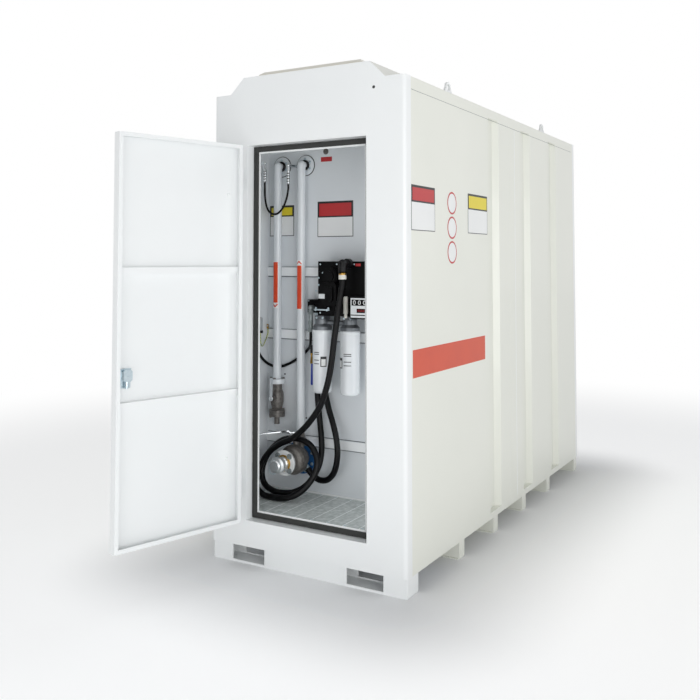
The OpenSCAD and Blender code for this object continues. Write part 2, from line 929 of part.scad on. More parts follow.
// The fixed halves: a leaf on the front face and two knuckles
module frame_hinges() {
    bore_r = pin_r + pin_play;
    color(white) at_hinges(0) difference() {
        union() {
            for (end = [-1, 1]) translate([0, 0, end * knuckle_l - knuckle_l / 2]) {
                cylinder(r = knuckle_r, h = knuckle_l);
                translate([-knuckle_r, 0, 0]) cube([knuckle_r, pin_out, knuckle_l]);
            }
            translate([-leaf_w - knuckle_r + leaf_lap, pin_out - leaf_t, -hinge_l / 2])
                cube([leaf_w, leaf_t, hinge_l]);
        }
        translate([0, 0, -hinge_l]) cylinder(r = bore_r, h = 2 * hinge_l);
    }
}

// A pipe that comes out of the bulkhead through a round flange and turns down
module drop_pipe(x, z_low) {
    at_bulkhead() difference() {
        union() {
            translate([x, -pipe_off, z_low]) cylinder(r = pipe_r, h = bend_z - z_low);
            translate([x, -pipe_off, bend_z]) sphere(pipe_r);
            translate([x, -pipe_off, bend_z]) rotate([-90, 0, 0]) cylinder(r = stub_r, h = pipe_off);
            translate([x, -flange_t, bend_z]) rotate([-90, 0, 0]) cylinder(r = flange_r, h = flange_t);
        }
        translate([x, -pipe_off, z_low - 1]) cylinder(r = pipe_r - pipe_wall, h = bend_z - z_low + 1);
    }
}

module supply_pipe() {
    color(white) drop_pipe(supply_x, valve_top_z);
}

module fill_pipe() {
    color(white) drop_pipe(fill_x, neck_top_z);
}

// Rubber sleeves that seal the stubs at their flanges
module pipe_plugs() {
    bore_r = stub_r + seat_gap;
    l = pipe_off - pipe_r - flange_t - plug_gap;
    color(black) for (x = [supply_x, fill_x]) turned_forward(x, bend_z)
        polygon([[bore_r, flange_t], [plug_r, flange_t], [plug_r, flange_t + l - plug_edge],
                 [plug_r - plug_edge, flange_t + l], [bore_r, flange_t + l]]);
}

// Cast valve between the supply pipe and its tail: collar, ball body, and two flanges bolted face to face
module supply_valve() {
    top = valve_top_z;
    low = valve_tail_z + valve_tail_l;
    joint = low + valve_flange_t;
    upper = joint + valve_flange_t;
    half = valve_body_l / 2;
    color([0.25, 0.25, 0.25]) at_bulkhead() translate([supply_x, -pipe_off, 0]) {
        rotate_extrude() polygon([
            [0, valve_tail_z], [valve_tail_r, valve_tail_z], [valve_tail_r, low], [valve_flange_r, low],
            [valve_flange_r, joint], [valve_flange_r - valve_joint[0], joint],
            [valve_flange_r - valve_joint[0], joint + valve_joint[1]],
            [valve_flange_r, joint + valve_joint[1]],
            [valve_flange_r, upper], [valve_neck_r, upper + valve_foot],
            [valve_body_r, valve_mid_z - half], [valve_body_r, valve_mid_z + half],
            [valve_neck_r, valve_mid_z + half + valve_taper], [valve_neck_r, top - valve_collar_h],
            [valve_flange_r, top - valve_collar_h], [valve_flange_r, top], [0, top],
        ]);
        for (turn = [45:90:315]) rotate([0, 0, turn]) translate([valve_flange_r - valve_bolt_r - 1, 0, 0]) {
            translate([0, 0, upper - 1]) cylinder(r = valve_bolt_r, h = valve_bolt_h + 1, $fn = 6);
            translate([0, 0, low - valve_bolt_h]) cylinder(r = valve_bolt_r, h = valve_bolt_h + 1, $fn = 6);
        }
        translate([0, 0, valve_mid_z]) rotate([90, 0, 0]) cylinder(r = valve_boss_r, h = valve_stem_reach);
    }
}

// A flat lever: a round hub end, a bar of length l and a rounded grip end
module lever_outline(l) {
    circle(lever_hub_r);
    translate([-lever_w / 2, 0]) square([lever_w, l - lever_w / 2]);
    translate([0, l - lever_w / 2]) circle(lever_w / 2);
}

module supply_lever() {
    color(steel) at_bulkhead()
        translate([supply_x, -pipe_off - valve_stem_reach - lever_gap, valve_mid_z]) rotate([90, 0, 0]) {
            translate([0, 0, lever_t - 1]) linear_extrude(lever_t) lever_outline(supply_lever_l);
            cylinder(r = lever_hub_r - 4, h = 2 * lever_t);
            cylinder(r = lever_hub_r / 2, h = 3 * lever_t, $fn = 6);
        }
}

// Blue plate that stiffens the bulkhead's low rail where the fill valve goes through
module fill_ring() {
    color([0.1, 0.35, 0.65]) turned_forward(fill_x, fill_z)
        translate([ring_bore_r, ring_back]) square([ring_r - ring_bore_r, ring_t]);
}

// Cast ball valve: back flange, hub, round belly and front flange, with the pipe's neck and a stem
module fill_valve() {
    seat_r = ring_bore_r - seat_gap;
    flange_edge = ring_r - fill_flange_in;
    flange_end = ring_front + fill_flange_t;
    hub_end = flange_end + fill_hub_l;
    face = fill_end - fill_face_t;
    belly_end = face - fill_neck_l;
    color([0.3, 0.3, 0.3]) {
        turned_forward(fill_x, fill_z) polygon([
            [0, 0], [seat_r, 0], [seat_r, ring_front], [flange_edge, ring_front], [flange_edge, flange_end],
            [fill_hub_r, flange_end], [fill_hub_r, hub_end],
            [fill_belly_r - belly_in, hub_end + belly_rise[0]],
            [fill_belly_r, hub_end + belly_rise[1]], [fill_belly_r, belly_end],
            [fill_belly_r - belly_in, belly_end + belly_fall[0]], [fill_hub_r, belly_end + belly_fall[1]],
            [fill_hub_r, face], [fill_face_r, face], [fill_face_r, fill_end], [0, fill_end],
        ]);
        at_bulkhead() {
            translate([fill_x, -pipe_off, fill_z]) cylinder(r = neck_r, h = neck_top_z - fill_z);
            translate([fill_x, -stem_off, fill_z]) cylinder(r = stem_r, h = pad_z - fill_z);
            translate([fill_x, -face + fill_bolt_h, fill_z]) rotate([90, 0, 0])
                for (turn = [30:60:330]) rotate([0, 0, turn]) translate([fill_face_r - fill_bolt_in, 0, 0])
                    cylinder(r = fill_bolt_r, h = fill_bolt_h + 2, $fn = 6);
        }
    }
}

// Dry-break coupling: bolted face plate, grooved spigot, cap with two pull ears and a nose
module fill_coupling() {
    plate_end = fill_end + face_plate_t;
    cap = fill_end + spigot_l;
    cap_end = cap + cap_l;
    groove = cap - groove_back;
    groove_r = spigot_r - groove_in[0];
    color(steel) {
        turned_forward(fill_x, fill_z) polygon([
            [0, fill_end], [fill_face_r, fill_end], [fill_face_r, plate_end], [spigot_r, plate_end],
            [spigot_r, groove], [groove_r, groove + groove_in[1]], [groove_r, groove + groove_in[2]],
            [spigot_r, groove + groove_in[3]], [spigot_r, cap],
            [cap_r - cap_edge, cap], [cap_r, cap + cap_edge],
            [cap_r, cap_end], [nose_r, cap_end + nose_edge], [nose_r, cap_end + nose_l - nose_edge],
            [nose_r - nose_edge, cap_end + nose_l], [0, cap_end + nose_l],
        ]);
        at_bulkhead() for (turn = [20, 200])
            translate([fill_x, -cap - cap_l / 2, fill_z]) rotate([0, turn, 0])
                translate([cap_r - ear_sink, 0, 0]) rotate([90, 0, 0]) difference() {
                    translate([0, -ear_w / 2, -ear_w / 2]) cube([ear_l, ear_w, ear_w]);
                    translate([ear_w, 0, -ear_w]) cylinder(r = ear_w / 4, h = 2 * ear_w);
                }
        at_bulkhead() translate([fill_x, 1 - plate_end, fill_z]) rotate([90, 0, 0])
            for (turn = [45:90:315]) rotate([0, 0, turn]) translate([fill_face_r - coupling_bolt_in, 0, 0])
                cylinder(r = coupling_bolt_r, h = coupling_bolt_h + 1, $fn = 6);
    }
}

// Cranked lever on the fill valve's stem
module fill_lever() {
    seat = [fill_x, -stem_off, pad_z + lever_gap];
    color(steel) at_bulkhead() translate(seat) rotate([0, 0, -fill_lever_turn]) {
        cylinder(r = lever_hub_r - 1, h = lever_rise + lever_t + 1);
        cylinder(r = stem_r, h = lever_nut_h, $fn = 6);
        translate([-lever_w / 2, 0, lever_rise]) rotate([90, 0, 90]) linear_extrude(lever_w) polygon([
            [lever_hub_r - 1, 0], [lever_hub_r - 1, lever_t], [-crank_start, lever_t],
            [-crank_start - crank_rise, lever_t + crank_rise], [-fill_lever_l, lever_t + crank_rise],
            [-fill_lever_l, crank_rise], [-crank_start - crank_rise, crank_rise], [-crank_start, 0],
        ]);
    }
}

// Sheet cabinet with a proud front panel, hung on the bulkhead's upper rail
module pump_cabinet() {
    x1 = cab_x0 + cab_w;
    z1 = cab_z0 + cab_h;
    color(black) at_bulkhead() {
        block([cab_x0, -cab_front + panel_t, cab_z0], [x1, -bulk_rail_d, z1]);
        block([cab_x0 + panel_edge, -cab_front, cab_z0 + panel_edge],
              [x1 - panel_edge, -cab_front + panel_t + eps, z1 - panel_edge]);
    }
}

// Vane pump: domed rotor cover with turned ribs, over a cast body with its ports
module pump() {
    body_mid = pump_lap - pump_r - pump_body[2] / 2;
    body_low = body_mid - pump_body[2] / 2;
    color(black) {
        turned_forward(pump_x, pump_z) {
            translate([0, cab_front]) square([pump_r, pump_rim_t]);
            translate([0, cab_front]) square([pump_r - pump_rim_w, pump_l - pump_crown]);
            for (i = [0:rib_n - 1]) translate([0, cab_front + rib_start + rib_pitch * i])
                square([pump_r - rib_in - rib_step * i, pump_rib_t]);
            translate([0, cab_front]) square([pump_r / 2, pump_l]);
        }
        at_bulkhead() translate([pump_x, -cab_front, pump_z]) {
            translate([0, 0, body_mid]) rotate([90, 0, 0]) linear_extrude(pump_body[1])
                bevelled(pump_body[0], pump_body[2], pump_bevel);
            translate([0, 0, body_mid]) rotate([90, 0, 0]) linear_extrude(pump_body[1] + pump_pad[1])
                bevelled(pump_pad[0], pump_pad[2], pump_pad_bevel);
            for (side = [-1, 1])
                translate([side * pump_port[0], -pump_body[1] / 2, body_low - pump_port[2] + pump_port_lap])
                    cylinder(r = pump_port[1], h = pump_port[2], $fn = 6);
        }
    }
}

// Mechanical litre meter: case, bezel and two recessed windows for the number drums
module meter() {
    at = [meter_x, -cab_front - meter_size[1], cab_z0 - meter_low];
    color([0.8, 0.8, 0.8]) at_bulkhead() translate(at) difference() {
        union() {
            translate([0, bezel_d, 0]) cube(meter_size - [0, bezel_d, 0]);
            translate([bezel_in, 0, bezel_in])
                cube([meter_size[0] - 2 * bezel_in, bezel_d + 1, meter_size[2] - 2 * bezel_in]);
        }
        for (w = [window_1, window_2]) translate([(meter_size[0] - w[1]) / 2, -1, w[0]])
            cube([w[1], window_depth + 1, w[2]]);
    }
}

function filter_place(i) = filter_x + i * filter_pitch;

// Cast heads hung under the cabinet and joined by a cross pipe
module filter_heads() {
    color([0.35, 0.35, 0.36]) at_bulkhead() {
        for (i = [0, 1]) translate([filter_place(i), -filter_off, cab_z0 - head_h]) {
            rotate_extrude() polygon([
                [0, 0], [head_r, 0], [head_r, head_rim_h], [head_r - head_in, head_rim_h + head_slope],
                [head_r - head_in, head_h - head_block_h + 4], [0, head_h - head_block_h + 4],
            ]);
            translate([-head_block_w / 2, -head_block_w / 2, head_h - head_block_h])
                cube([head_block_w, head_block_w, head_block_h]);
        }
        translate([filter_place(0), -filter_off, cab_z0 - head_h / 2]) rotate([0, 90, 0])
            cylinder(r = port_r, h = filter_pitch);
    }
}

// Spin-on cans: rolled seam at the top and a rounded, slightly tapered foot
module filters() {
    z0 = cab_z0 - head_h - filter_l;
    color(white) at_bulkhead() for (i = [0, 1]) translate([filter_place(i), -filter_off, z0])
        rotate_extrude() polygon([
            [0, 0], [filter_r - 16, 0], [filter_r - 8, 4], [filter_r - 4, 14],
            [filter_r - 2, filter_l - seam_h - 2], [filter_r, filter_l - seam_h],
            [filter_r, filter_l - seam_edge], [filter_r - 3, filter_l], [0, filter_l],
        ]);
}

// Delivery nozzle hung in its boot: swivel, body, grip guard and spout
module nozzle() {
    reach = nozzle_off - cab_front;
    color(black) at_bulkhead() translate([nozzle_x, -nozzle_off, nozzle_z]) {
        rotate_extrude() polygon(nozzle_outline);
        translate([0, 0, spout_z]) rotate([-90, 0, 0]) cylinder(r = spout_r, h = reach);
        translate([0, reach - boot[1], spout_z]) rotate([-90, 0, 0]) cylinder(r = boot[0], h = boot[1]);
        translate([-guard[0] / 2, -guard_out, guard_z]) difference() {
            cube(guard);
            translate([-1, guard_bar, guard_bar + 2]) cube([guard[0] + 2, guard[1], guard[2] - 18]);
        }
        for (z = [spout_z, guard_z]) translate([-guard[0] / 2, guard[1] - guard_out - 1, z])
            cube([guard[0], guard_out - guard[1] + 1, guard_bar + 2]);
    }
}

// A closed tube along a route, its end rings square to the way the hose leaves
module sweep(points, r, sides) {
    n = len(points);
    dirs = [for (i = [0:n - 1])
        let (a = points[max(i - 1, 0)], b = points[min(i + 1, n - 1)]) (b - a) / norm(b - a)];
    rings = [for (i = [0:n - 1])
        let (d = dirs[i], u0 = cross(d, [0, 1, 0.1]), u = u0 / norm(u0), v = cross(d, u))
        for (k = [0:sides - 1]) points[i] + r * (cos(360 * k / sides) * u + sin(360 * k / sides) * v)];
    walls = [for (i = [0:n - 2]) for (k = [0:sides - 1])
        let (a = i * sides + k, b = i * sides + (k + 1) % sides)
            for (t = [[a, b, b + sides], [a, b + sides, a + sides]]) t];
    cap0 = [for (k = [sides - 1:-1:0]) k];
    cap1 = [for (k = [0:sides - 1]) (n - 1) * sides + k];
    polyhedron(rings, concat(walls, [cap0], [cap1]));
}

module delivery_hose() {
    color(black) at_bulkhead() sweep(delivery_route, hose_r, 10);
}

module suction_hose() {
    color(black) at_bulkhead() sweep(suction_route, hose_r, 10);
}

module return_hose() {
    color(black) at_bulkhead() sweep(return_route, return_r, 8);
}

module vent_hose() {
    color(black) at_bulkhead() sweep(vent_route, vent_r, 8);
}

module earth_wire() {
    color([0.55, 0.6, 0.1]) at_bulkhead() sweep(earth_route, wire_r, 8);
}

// Swaged sleeves of both hoses, with the pipes that go up into the junction box
module hose_outlets() {
    color(steel) at_bulkhead() for (x = outlet_x) translate([x, -outlet_off, outlet_z]) {
        rotate_extrude() polygon([
            [0, 0], [outlet_sleeve[0], 0], [outlet_sleeve[0], outlet_sleeve[1] - outlet_taper],
            [outlet_pipe_r + 2, outlet_sleeve[1]], [outlet_pipe_r, outlet_sleeve[1]],
            [outlet_pipe_r, box_low[2] - outlet_z], [0, box_low[2] - outlet_z],
        ]);
        translate([-outlet_clip[0] / 2, 0, outlet_sleeve[1] + outlet_clip[0] - 4])
            cube([outlet_clip[0], outlet_off, outlet_clip[1]]);
    }
}

// Stub under the fill valve that the suction hose leaves
module suction_stub() {
    out = ring_front + fill_flange_t + fill_hub_l / 2;
    color(steel) at_bulkhead() translate([fill_x, -out, fill_z]) rotate([0, stub_turn, 0])
        translate([0, 0, fill_hub_r + seat_gap]) cylinder(r = hose_r - 2, h = stub_l);
}

// Box beside the cabinet in which the hoses' pipes meet
module junction_box() {
    color(black) at_bulkhead() block(box_low, box_high);
}

// Elbow out of the junction box, down through a union to the return hose
module return_elbow() {
    low = return_route[len(return_route) - 1][2];
    color(steel) at_bulkhead() translate([elbow_x, -elbow_off, 0]) {
        translate([0, 0, elbow_z]) sphere(elbow_r);
        translate([0, 0, elbow_z]) rotate([-90, 0, 0]) cylinder(r = elbow_r, h = elbow_off + box_low[1]);
        translate([0, 0, low]) cylinder(r = elbow_r - 4, h = elbow_z - low);
        for (z = [low, low + union_l, elbow_z - elbow_r - nut_h])
            translate([0, 0, z]) cylinder(r = elbow_r, h = nut_h, $fn = 6);
    }
}

// Drying canister on the left wall: a port below, a dark band and a silver can
module vent_canister() {
    band_z = canister_port[1] + canister_band;
    color(steel) at_bulkhead() {
        translate([canister_x, -canister_off, canister_z]) rotate_extrude() polygon([
            [0, 0], [canister_port[0], 0], [canister_port[0], canister_port[1]],
            [canister_r, canister_port[1]],
            [canister_r, band_z], [canister_r - 2, band_z + 2],
            [canister_r - 2, canister_l - canister_round], [canister_r - canister_round, canister_l],
            [0, canister_l],
        ]);
        block([skin, -canister_off - bracket_w / 2, canister_z + bracket_z[0]],
              [canister_x - canister_r + 4, -canister_off + bracket_w / 2, canister_z + bracket_z[1]]);
    }
}

// Ends of the vent hose, on the left wall and on the bulkhead, and the lug of the earth wire
module wall_fittings() {
    left = vent_route[0];
    right = vent_route[len(vent_route) - 1];
    lug_at = earth_route[len(earth_route) - 1];
    up = [0, 0, fitting_l];
    color(steel) at_bulkhead() {
        for (foot = [left, right]) translate(foot) {
            for (i = [0:4]) translate([0, 0, 4 + sleeve_pitch * i]) cylinder(r = sleeve_r, h = sleeve_h);
            cylinder(r = sleeve_r - 2.5, h = fitting_l);
            translate(up) sphere(sleeve_r);
        }
        translate(left + up) rotate([0, -90, 0]) cylinder(r = sleeve_r - 2, h = left[0] - skin);
        translate(right + up) rotate([-90, 0, 0]) cylinder(r = sleeve_r - 2, h = -right[1]);
        translate(lug_at + [-lug_plate[0] / 2, -lug_plate[1] / 2, 0]) cube(lug_plate);
        translate([lug_at[0], 0, lug_at[2] + stud_z]) rotate([90, 0, 0]) cylinder(r = stud_r, h = stud_l);
        translate([lug_at[0], 0, lug_at[2] + stud_z]) rotate([90, 0, 0])
            cylinder(r = stud_r + 3, h = stud_l / 2, $fn = 6);
    }
}

// Sealed tank inside the bund, on two runners
module inner_tank() {
    x = half_w - groove_d - skin - inner_gap;
    y0 = bulk_y + bulk_t + inner_end;
    y1 = body_l - skin - inner_end;
    z0 = skid_h + base_t + inner_lift;
    z1 = roof_z - inner_drop;
    color(steel) from_front() {
        difference() {
            block([-x, y0, z0], [x, y1, z1]);
            block([-x + inner_t, y0 + inner_t, z0 + inner_t], [x - inner_t, y1 - inner_t, z1 - inner_t]);
        }
        for (side = [-1, 1])
            block([side * x / 2 - rail_d / 2, y0, z0 - inner_lift],
                  [side * x / 2 + rail_d / 2, y1, z0 + eps]);
    }
}

front_bearer();
bearer_2();
bearer_3();
bearer_4();
bearer_5();
rear_bearer();
base_plate();
front_left_post();
front_right_post();
front_header();
front_sill();
left_side_panel();
right_side_panel();
left_top_rail();
right_top_rail();
left_bottom_rail();
right_bottom_rail();
rear_wall();
roof_panel();
roof_lid();
lug_front_left();
lug_front_right();
lug_rear_left();
lug_rear_right();
bulkhead();
floor_deck();
door_jamb();
door_seal();
door_pan();
door_ribs();
door_lock();
door_hinges();
frame_hinges();
supply_pipe();
fill_pipe();
pipe_plugs();
supply_valve();
supply_lever();
fill_valve();
fill_ring();
fill_coupling();
fill_lever();
pump_cabinet();
pump();
meter();
filter_heads();
filters();
nozzle();
delivery_hose();
suction_hose();
hose_outlets();
suction_stub();
junction_box();
return_elbow();
return_hose();
vent_canister();
vent_hose();
wall_fittings();
earth_wire();
inner_tank();
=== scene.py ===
"""Looks of a double-walled diesel tank on a skid: finishes, hoses, fittings, signs, camera and light.

Sizes are in millimetres. A point is (sideways, behind the front face, above the ground), as in part.scad,
and place() turns it into the frame's metres. on_wall() and on_door() make such points from points measured on
the bulkhead and on the closed door.
"""

import math

import bmesh
import bpy
from mathutils import Matrix, Vector


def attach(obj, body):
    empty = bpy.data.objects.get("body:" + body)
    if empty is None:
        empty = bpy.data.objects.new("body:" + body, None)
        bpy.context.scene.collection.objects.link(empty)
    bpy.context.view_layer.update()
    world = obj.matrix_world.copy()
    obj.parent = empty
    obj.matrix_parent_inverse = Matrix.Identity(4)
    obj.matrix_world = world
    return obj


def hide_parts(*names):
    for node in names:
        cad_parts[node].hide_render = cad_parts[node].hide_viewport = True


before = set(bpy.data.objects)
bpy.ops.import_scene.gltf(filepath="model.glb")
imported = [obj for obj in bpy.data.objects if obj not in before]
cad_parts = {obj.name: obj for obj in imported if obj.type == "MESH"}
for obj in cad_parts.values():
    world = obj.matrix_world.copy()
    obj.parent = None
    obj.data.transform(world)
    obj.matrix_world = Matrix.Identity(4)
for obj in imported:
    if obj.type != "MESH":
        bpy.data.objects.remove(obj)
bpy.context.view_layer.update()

# Sizes that part.scad also holds
FRONT_SETBACK = 76  # the frame's origin is this far behind the front face
HALF_WIDTH = 585
BODY_LENGTH = 2930
ROOF_Z = 2490
BULKHEAD = 500  # its face, behind the front face
BEARERS = (672, 1179, 1686, 2193)  # the middles of the four middle bearers
BEARER_HALF = 34
BEARER_TOP = 95
DOOR_CORNER = (-351, 0, 236)
DOOR_PIN = (-387, -13)
DOOR_ANGLE = 106

# Equipment, from the left side and in front of the bulkhead
SUPPLY_X = 105
FILL_X = 271
PIPE_OUT = -48
PIPE_TOP = 2145  # where the pipes turn into the bulkhead
COUPLING_Z = 473
FILTERS_X = (449, 627)
FILTER_OUT = -100
FILTER_RADIUS = 54.6
NOZZLE = (639, -200)
DRAIN = (371, -90)

OUT = (0, -1, 0)
UP = (0, 0, 1)


def place(point):
    """A point in millimetres from the front face, in the frame's metres."""
    x, back, z = point
    return Vector((x, back - FRONT_SETBACK, z)) / 1000


def linked(name, data):
    """A new object in the scene."""
    thing = bpy.data.objects.new(name, data)
    bpy.context.scene.collection.objects.link(thing)
    return thing


# Camera

CAMERA_POINT = (2384, -3588, 1588)
CAMERA_YAW = 30.42  # turned left of straight back, in degrees
CAMERA_PITCH = 2.71  # tilted up
FOCAL_PIXELS = 841
FRAME_PIXELS = 700
HORIZON_LIFT = -0.184  # the photograph was cropped below its own middle
SENSOR_WIDTH = 36


def add_camera():
    """The camera, matched to the corners of the tank in the photograph."""
    lens = bpy.data.cameras.new("camera")
    lens.sensor_width = SENSOR_WIDTH
    lens.lens = SENSOR_WIDTH * FOCAL_PIXELS / FRAME_PIXELS
    lens.shift_y = HORIZON_LIFT
    lens.clip_start = 0.1
    lens.clip_end = 200
    camera = linked("camera", lens)
    camera.location = place(CAMERA_POINT)
    camera.rotation_euler = (math.radians(90 + CAMERA_PITCH), 0, math.radians(CAMERA_YAW))
    bpy.context.scene.camera = camera


add_camera()


# Shapes: each gives its points and faces


def box(low, high):
    """A box from its lowest to its highest corner."""
    points = [(x, y, z) for z in (low[2], high[2]) for y in (low[1], high[1]) for x in (low[0], high[0])]
    return points, [(0, 2, 3, 1), (4, 5, 7, 6), (0, 1, 5, 4), (2, 6, 7, 3), (0, 4, 6, 2), (1, 3, 7, 5)]


def loft(rings):
    """A skin over rings of equal length, closed at both ends."""
    n = len(rings[0])
    points = [p for ring in rings for p in ring]
    faces = [
        (i * n + k, i * n + (k + 1) % n, (i + 1) * n + (k + 1) % n, (i + 1) * n + k)
        for i in range(len(rings) - 1)
        for k in range(n)
    ]
    last = (len(rings) - 1) * n
    return points, faces + [tuple(reversed(range(n))), tuple(range(last, last + n))]


def circle(sides, radius=1.0):
    """Points (across, up) round a circle."""
    turns = [2 * math.pi * k / sides for k in range(sides)]
    return [(radius * math.cos(a), radius * math.sin(a)) for a in turns]


def turned(centre, axis, profile, sides=32):
    """A turned body: profile is a line of (distance along the axis, radius)."""
    spin = Vector(axis).to_track_quat("Z", "Y")
    return loft([
        [Vector(centre) + spin @ Vector((across, up, along)) for across, up in circle(sides, radius)]
        for along, radius in profile
    ])


def prism(outline, start, end):
    """An outline of (across, up) points drawn out backwards."""
    return loft([[(across, back, up) for across, up in outline] for back in (start, end)])


def smooth_route(points, steps):
    """The points of a smooth curve through a route."""
    route = [Vector(p) for p in points]
    padded = [2 * route[0] - route[1], *route, 2 * route[-1] - route[-2]]
    line = []
    for i in range(1, len(padded) - 2):
        p0, p1, p2, p3 = padded[i - 1 : i + 3]
        for k in range(steps):
            t = k / steps
            bend = (2 * p0 - 5 * p1 + 4 * p2 - p3) * t**2 + (3 * p1 - p0 - 3 * p2 + p3) * t**3
            line.append(0.5 * (2 * p1 + (p2 - p0) * t + bend))
    return [*line, route[-1]]


def swept(route, radius, sides):
    """A round bar along a route; its rings don't twist."""
    side = None
    rings = []
    for i, point in enumerate(route):
        ahead = (Vector(route[min(i + 1, len(route) - 1)]) - Vector(route[max(i - 1, 0)])).normalized()
        if side is None:
            side = ahead.orthogonal().normalized()
        side = (side - ahead * side.dot(ahead)).normalized()
        up = ahead.cross(side)
        rings.append([Vector(point) + across * side + rise * up for across, rise in circle(sides, radius)])
    return loft(rings)


def on_door(point):
    """A point from the closed door's lower hinge corner on its outer face, where the open door holds it."""
    x, y, z = (p + c for p, c in zip(point, DOOR_CORNER))
    turn = Matrix.Rotation(math.radians(-DOOR_ANGLE), 2)
    across, back = turn @ Vector((x - DOOR_PIN[0], y - DOOR_PIN[1]))
    return across + DOOR_PIN[0], back + DOOR_PIN[1], z


def on_wall(point):
    """A point from the left side, in front of the bulkhead (negative) and above the ground."""
    x, out, z = point
    return x - HALF_WIDTH, BULKHEAD + out, z


CREASE = math.radians(35)  # edges sharper than this stay sharp, or get rounded


def make(name, shapes, finish, slot=None, body="tank", edge=0.0, stands_for=(), fitted=None):
    """One piece from its shapes, riding on a body, with its edges rounded by edge millimetres."""
    whole = bmesh.new()
    for points, faces in shapes:
        part = bmesh.new()
        corners = [part.verts.new(place(fitted(p) if fitted else p)) for p in points]
        for face in faces:
            part.faces.new([corners[i] for i in face])
        bmesh.ops.remove_doubles(part, verts=part.verts, dist=1e-6)
        bmesh.ops.recalc_face_normals(part, faces=part.faces)
        scrap = bpy.data.meshes.new("scrap")
        part.to_mesh(scrap)
        part.free()
        whole.from_mesh(scrap)
        bpy.data.meshes.remove(scrap)
    mesh = bpy.data.meshes.new(name)
    whole.to_mesh(mesh)
    whole.free()
    mesh.shade_smooth()
    mesh.set_sharp_from_angle(angle=CREASE)
    mesh.materials.append(finish)
    piece = linked(name, mesh)
    if edge:
        rounding = piece.modifiers.new("rounded edges", "BEVEL")
        rounding.width = edge / 1000
        rounding.segments = 2
        rounding.limit_method = "ANGLE"
        rounding.angle_limit = CREASE
        rounding.harden_normals = True
    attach(piece, body)
    slot or SLOTS[finish]
    if stands_for:
        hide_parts(*stands_for)
    return piece


def wall_piece(name, shapes, finish, edge=0.0):
    """A piece whose points are measured from the left side and the bulkhead."""
    return make(name, shapes, finish, edge=edge, fitted=on_wall)


# Finishes


def colour(code):
    """A linear colour from its sRGB hex code."""
    parts = [int(code[i : i + 2], 16) / 255 for i in (0, 2, 4)]
    return (*[p / 12.92 if p <= 0.04045 else ((p + 0.055) / 1.055) ** 2.4 for p in parts], 1)


def add(tree, kind, inputs=None, **settings):
    """One node, with its settings and its inputs: values, or the sockets that feed them."""
    node = tree.nodes.new(kind)
    for key, value in settings.items():
        setattr(node, key, value)
    for key, value in (inputs or {}).items():
        if isinstance(value, bpy.types.NodeSocket):
            tree.links.new(value, node.inputs[key])
        else:
            node.inputs[key].default_value = value
    return node


def empty_tree(owner):
    """The node tree of a new material or world, without the nodes that Blender puts in it."""
    owner.use_nodes = True
    owner.node_tree.nodes.clear()
    return owner.node_tree


def surface(
    name, low, high, patch, roughness, spread, grain, relief, metallic=0.0, coat=0.0, detail=3.0, sheen=0.5,
):
    """A finish whose colour drifts from low to high in patches, over a fine relief.

    patch and grain are the real sizes of the patches and of the relief's grain, and relief its height.
    An enamel's roughness stays clear of 0.274, where the denoiser starts to take a finish for a mirror
    and draws an outline.
    """
    material = bpy.data.materials.new(name)
    tree = empty_tree(material)
    where = add(tree, "ShaderNodeTexCoord").outputs["Object"]
    drift = add(tree, "ShaderNodeTexNoise", {
        "Vector": where, "Scale": 1000 / patch, "Detail": detail, "Roughness": 0.6,
    }).outputs["Fac"]
    tint = add(tree, "ShaderNodeMix", {"Factor": drift, 6: colour(low), 7: colour(high)}, data_type="RGBA")
    gloss = add(tree, "ShaderNodeMapRange", {
        "Value": drift, "To Min": roughness - spread, "To Max": roughness + spread,
    })
    fine = add(tree, "ShaderNodeTexNoise", {"Vector": where, "Scale": 1000 / grain, "Detail": 2.0})
    bump = add(tree, "ShaderNodeBump", {"Height": fine.outputs["Fac"], "Strength": 0.6, "Distance": relief / 1000})
    shader = add(tree, "ShaderNodeBsdfPrincipled", {
        "Base Color": tint.outputs[2], "Roughness": gloss.outputs[0], "Normal": bump.outputs["Normal"],
        "Metallic": metallic, "Coat Weight": coat, "Specular IOR Level": sheen,
    })
    add(tree, "ShaderNodeOutputMaterial", {"Surface": shader.outputs[0]})
    return material


def node_of(material, kind):
    """A finish's first node of one kind."""
    return next(n for n in material.node_tree.nodes if n.type == kind)


def spot_of(material):
    """Where a point of the finish lies, in metres along the object's own axes."""
    return node_of(material, "TEX_COORD").outputs["Object"]


def recolour(material, mask, code):
    """Lays a plain colour over a finish's own, where the mask is 1."""
    tree = material.node_tree
    own = node_of(material, "MIX").outputs[2]
    both = add(tree, "ShaderNodeMix", {"Factor": mask, 6: own, 7: colour(code)}, data_type="RGBA")
    tree.links.new(both.outputs[2], node_of(material, "BSDF_PRINCIPLED").inputs["Base Color"])


# Two-pack gloss enamel, sprayed on steel: bluish white, with the slight orange peel of a sprayed coat
front_enamel = surface("front gloss enamel, sprayed", "EAEDEE", "F4F6F6", 900, 0.33, 0.04, 9, 0.15, coat=0.25)
# The same enamel on the sides, a warmer batch: it reads slightly cream beside the front
side_enamel = surface("side gloss enamel, sprayed", "E3E5DC", "EBECE4", 700, 0.34, 0.05, 9, 0.15, coat=0.2)
# Compartment enamel: the front's white enamel, drawn pale blue grey and darker as painted shade in the compartment, and
# a little duller
shaded_inside_enamel = surface("compartment enamel, sprayed, painted shade", "DCE1E5", "E5E9EC", 420, 0.38, 0.05, 8, 0.15)
# Gloss enamel on the pipes
pipe_enamel = surface("pipe gloss enamel", "D9DFE4", "E8ECEF", 160, 0.25, 0.05, 6, 0.1, coat=0.3)
# EPDM door seal, extruded: near-black and dull, with a dusty bloom
seal_rubber = surface("extruded EPDM rubber", "232423", "343533", 60, 0.7, 0.08, 3, 0.2)
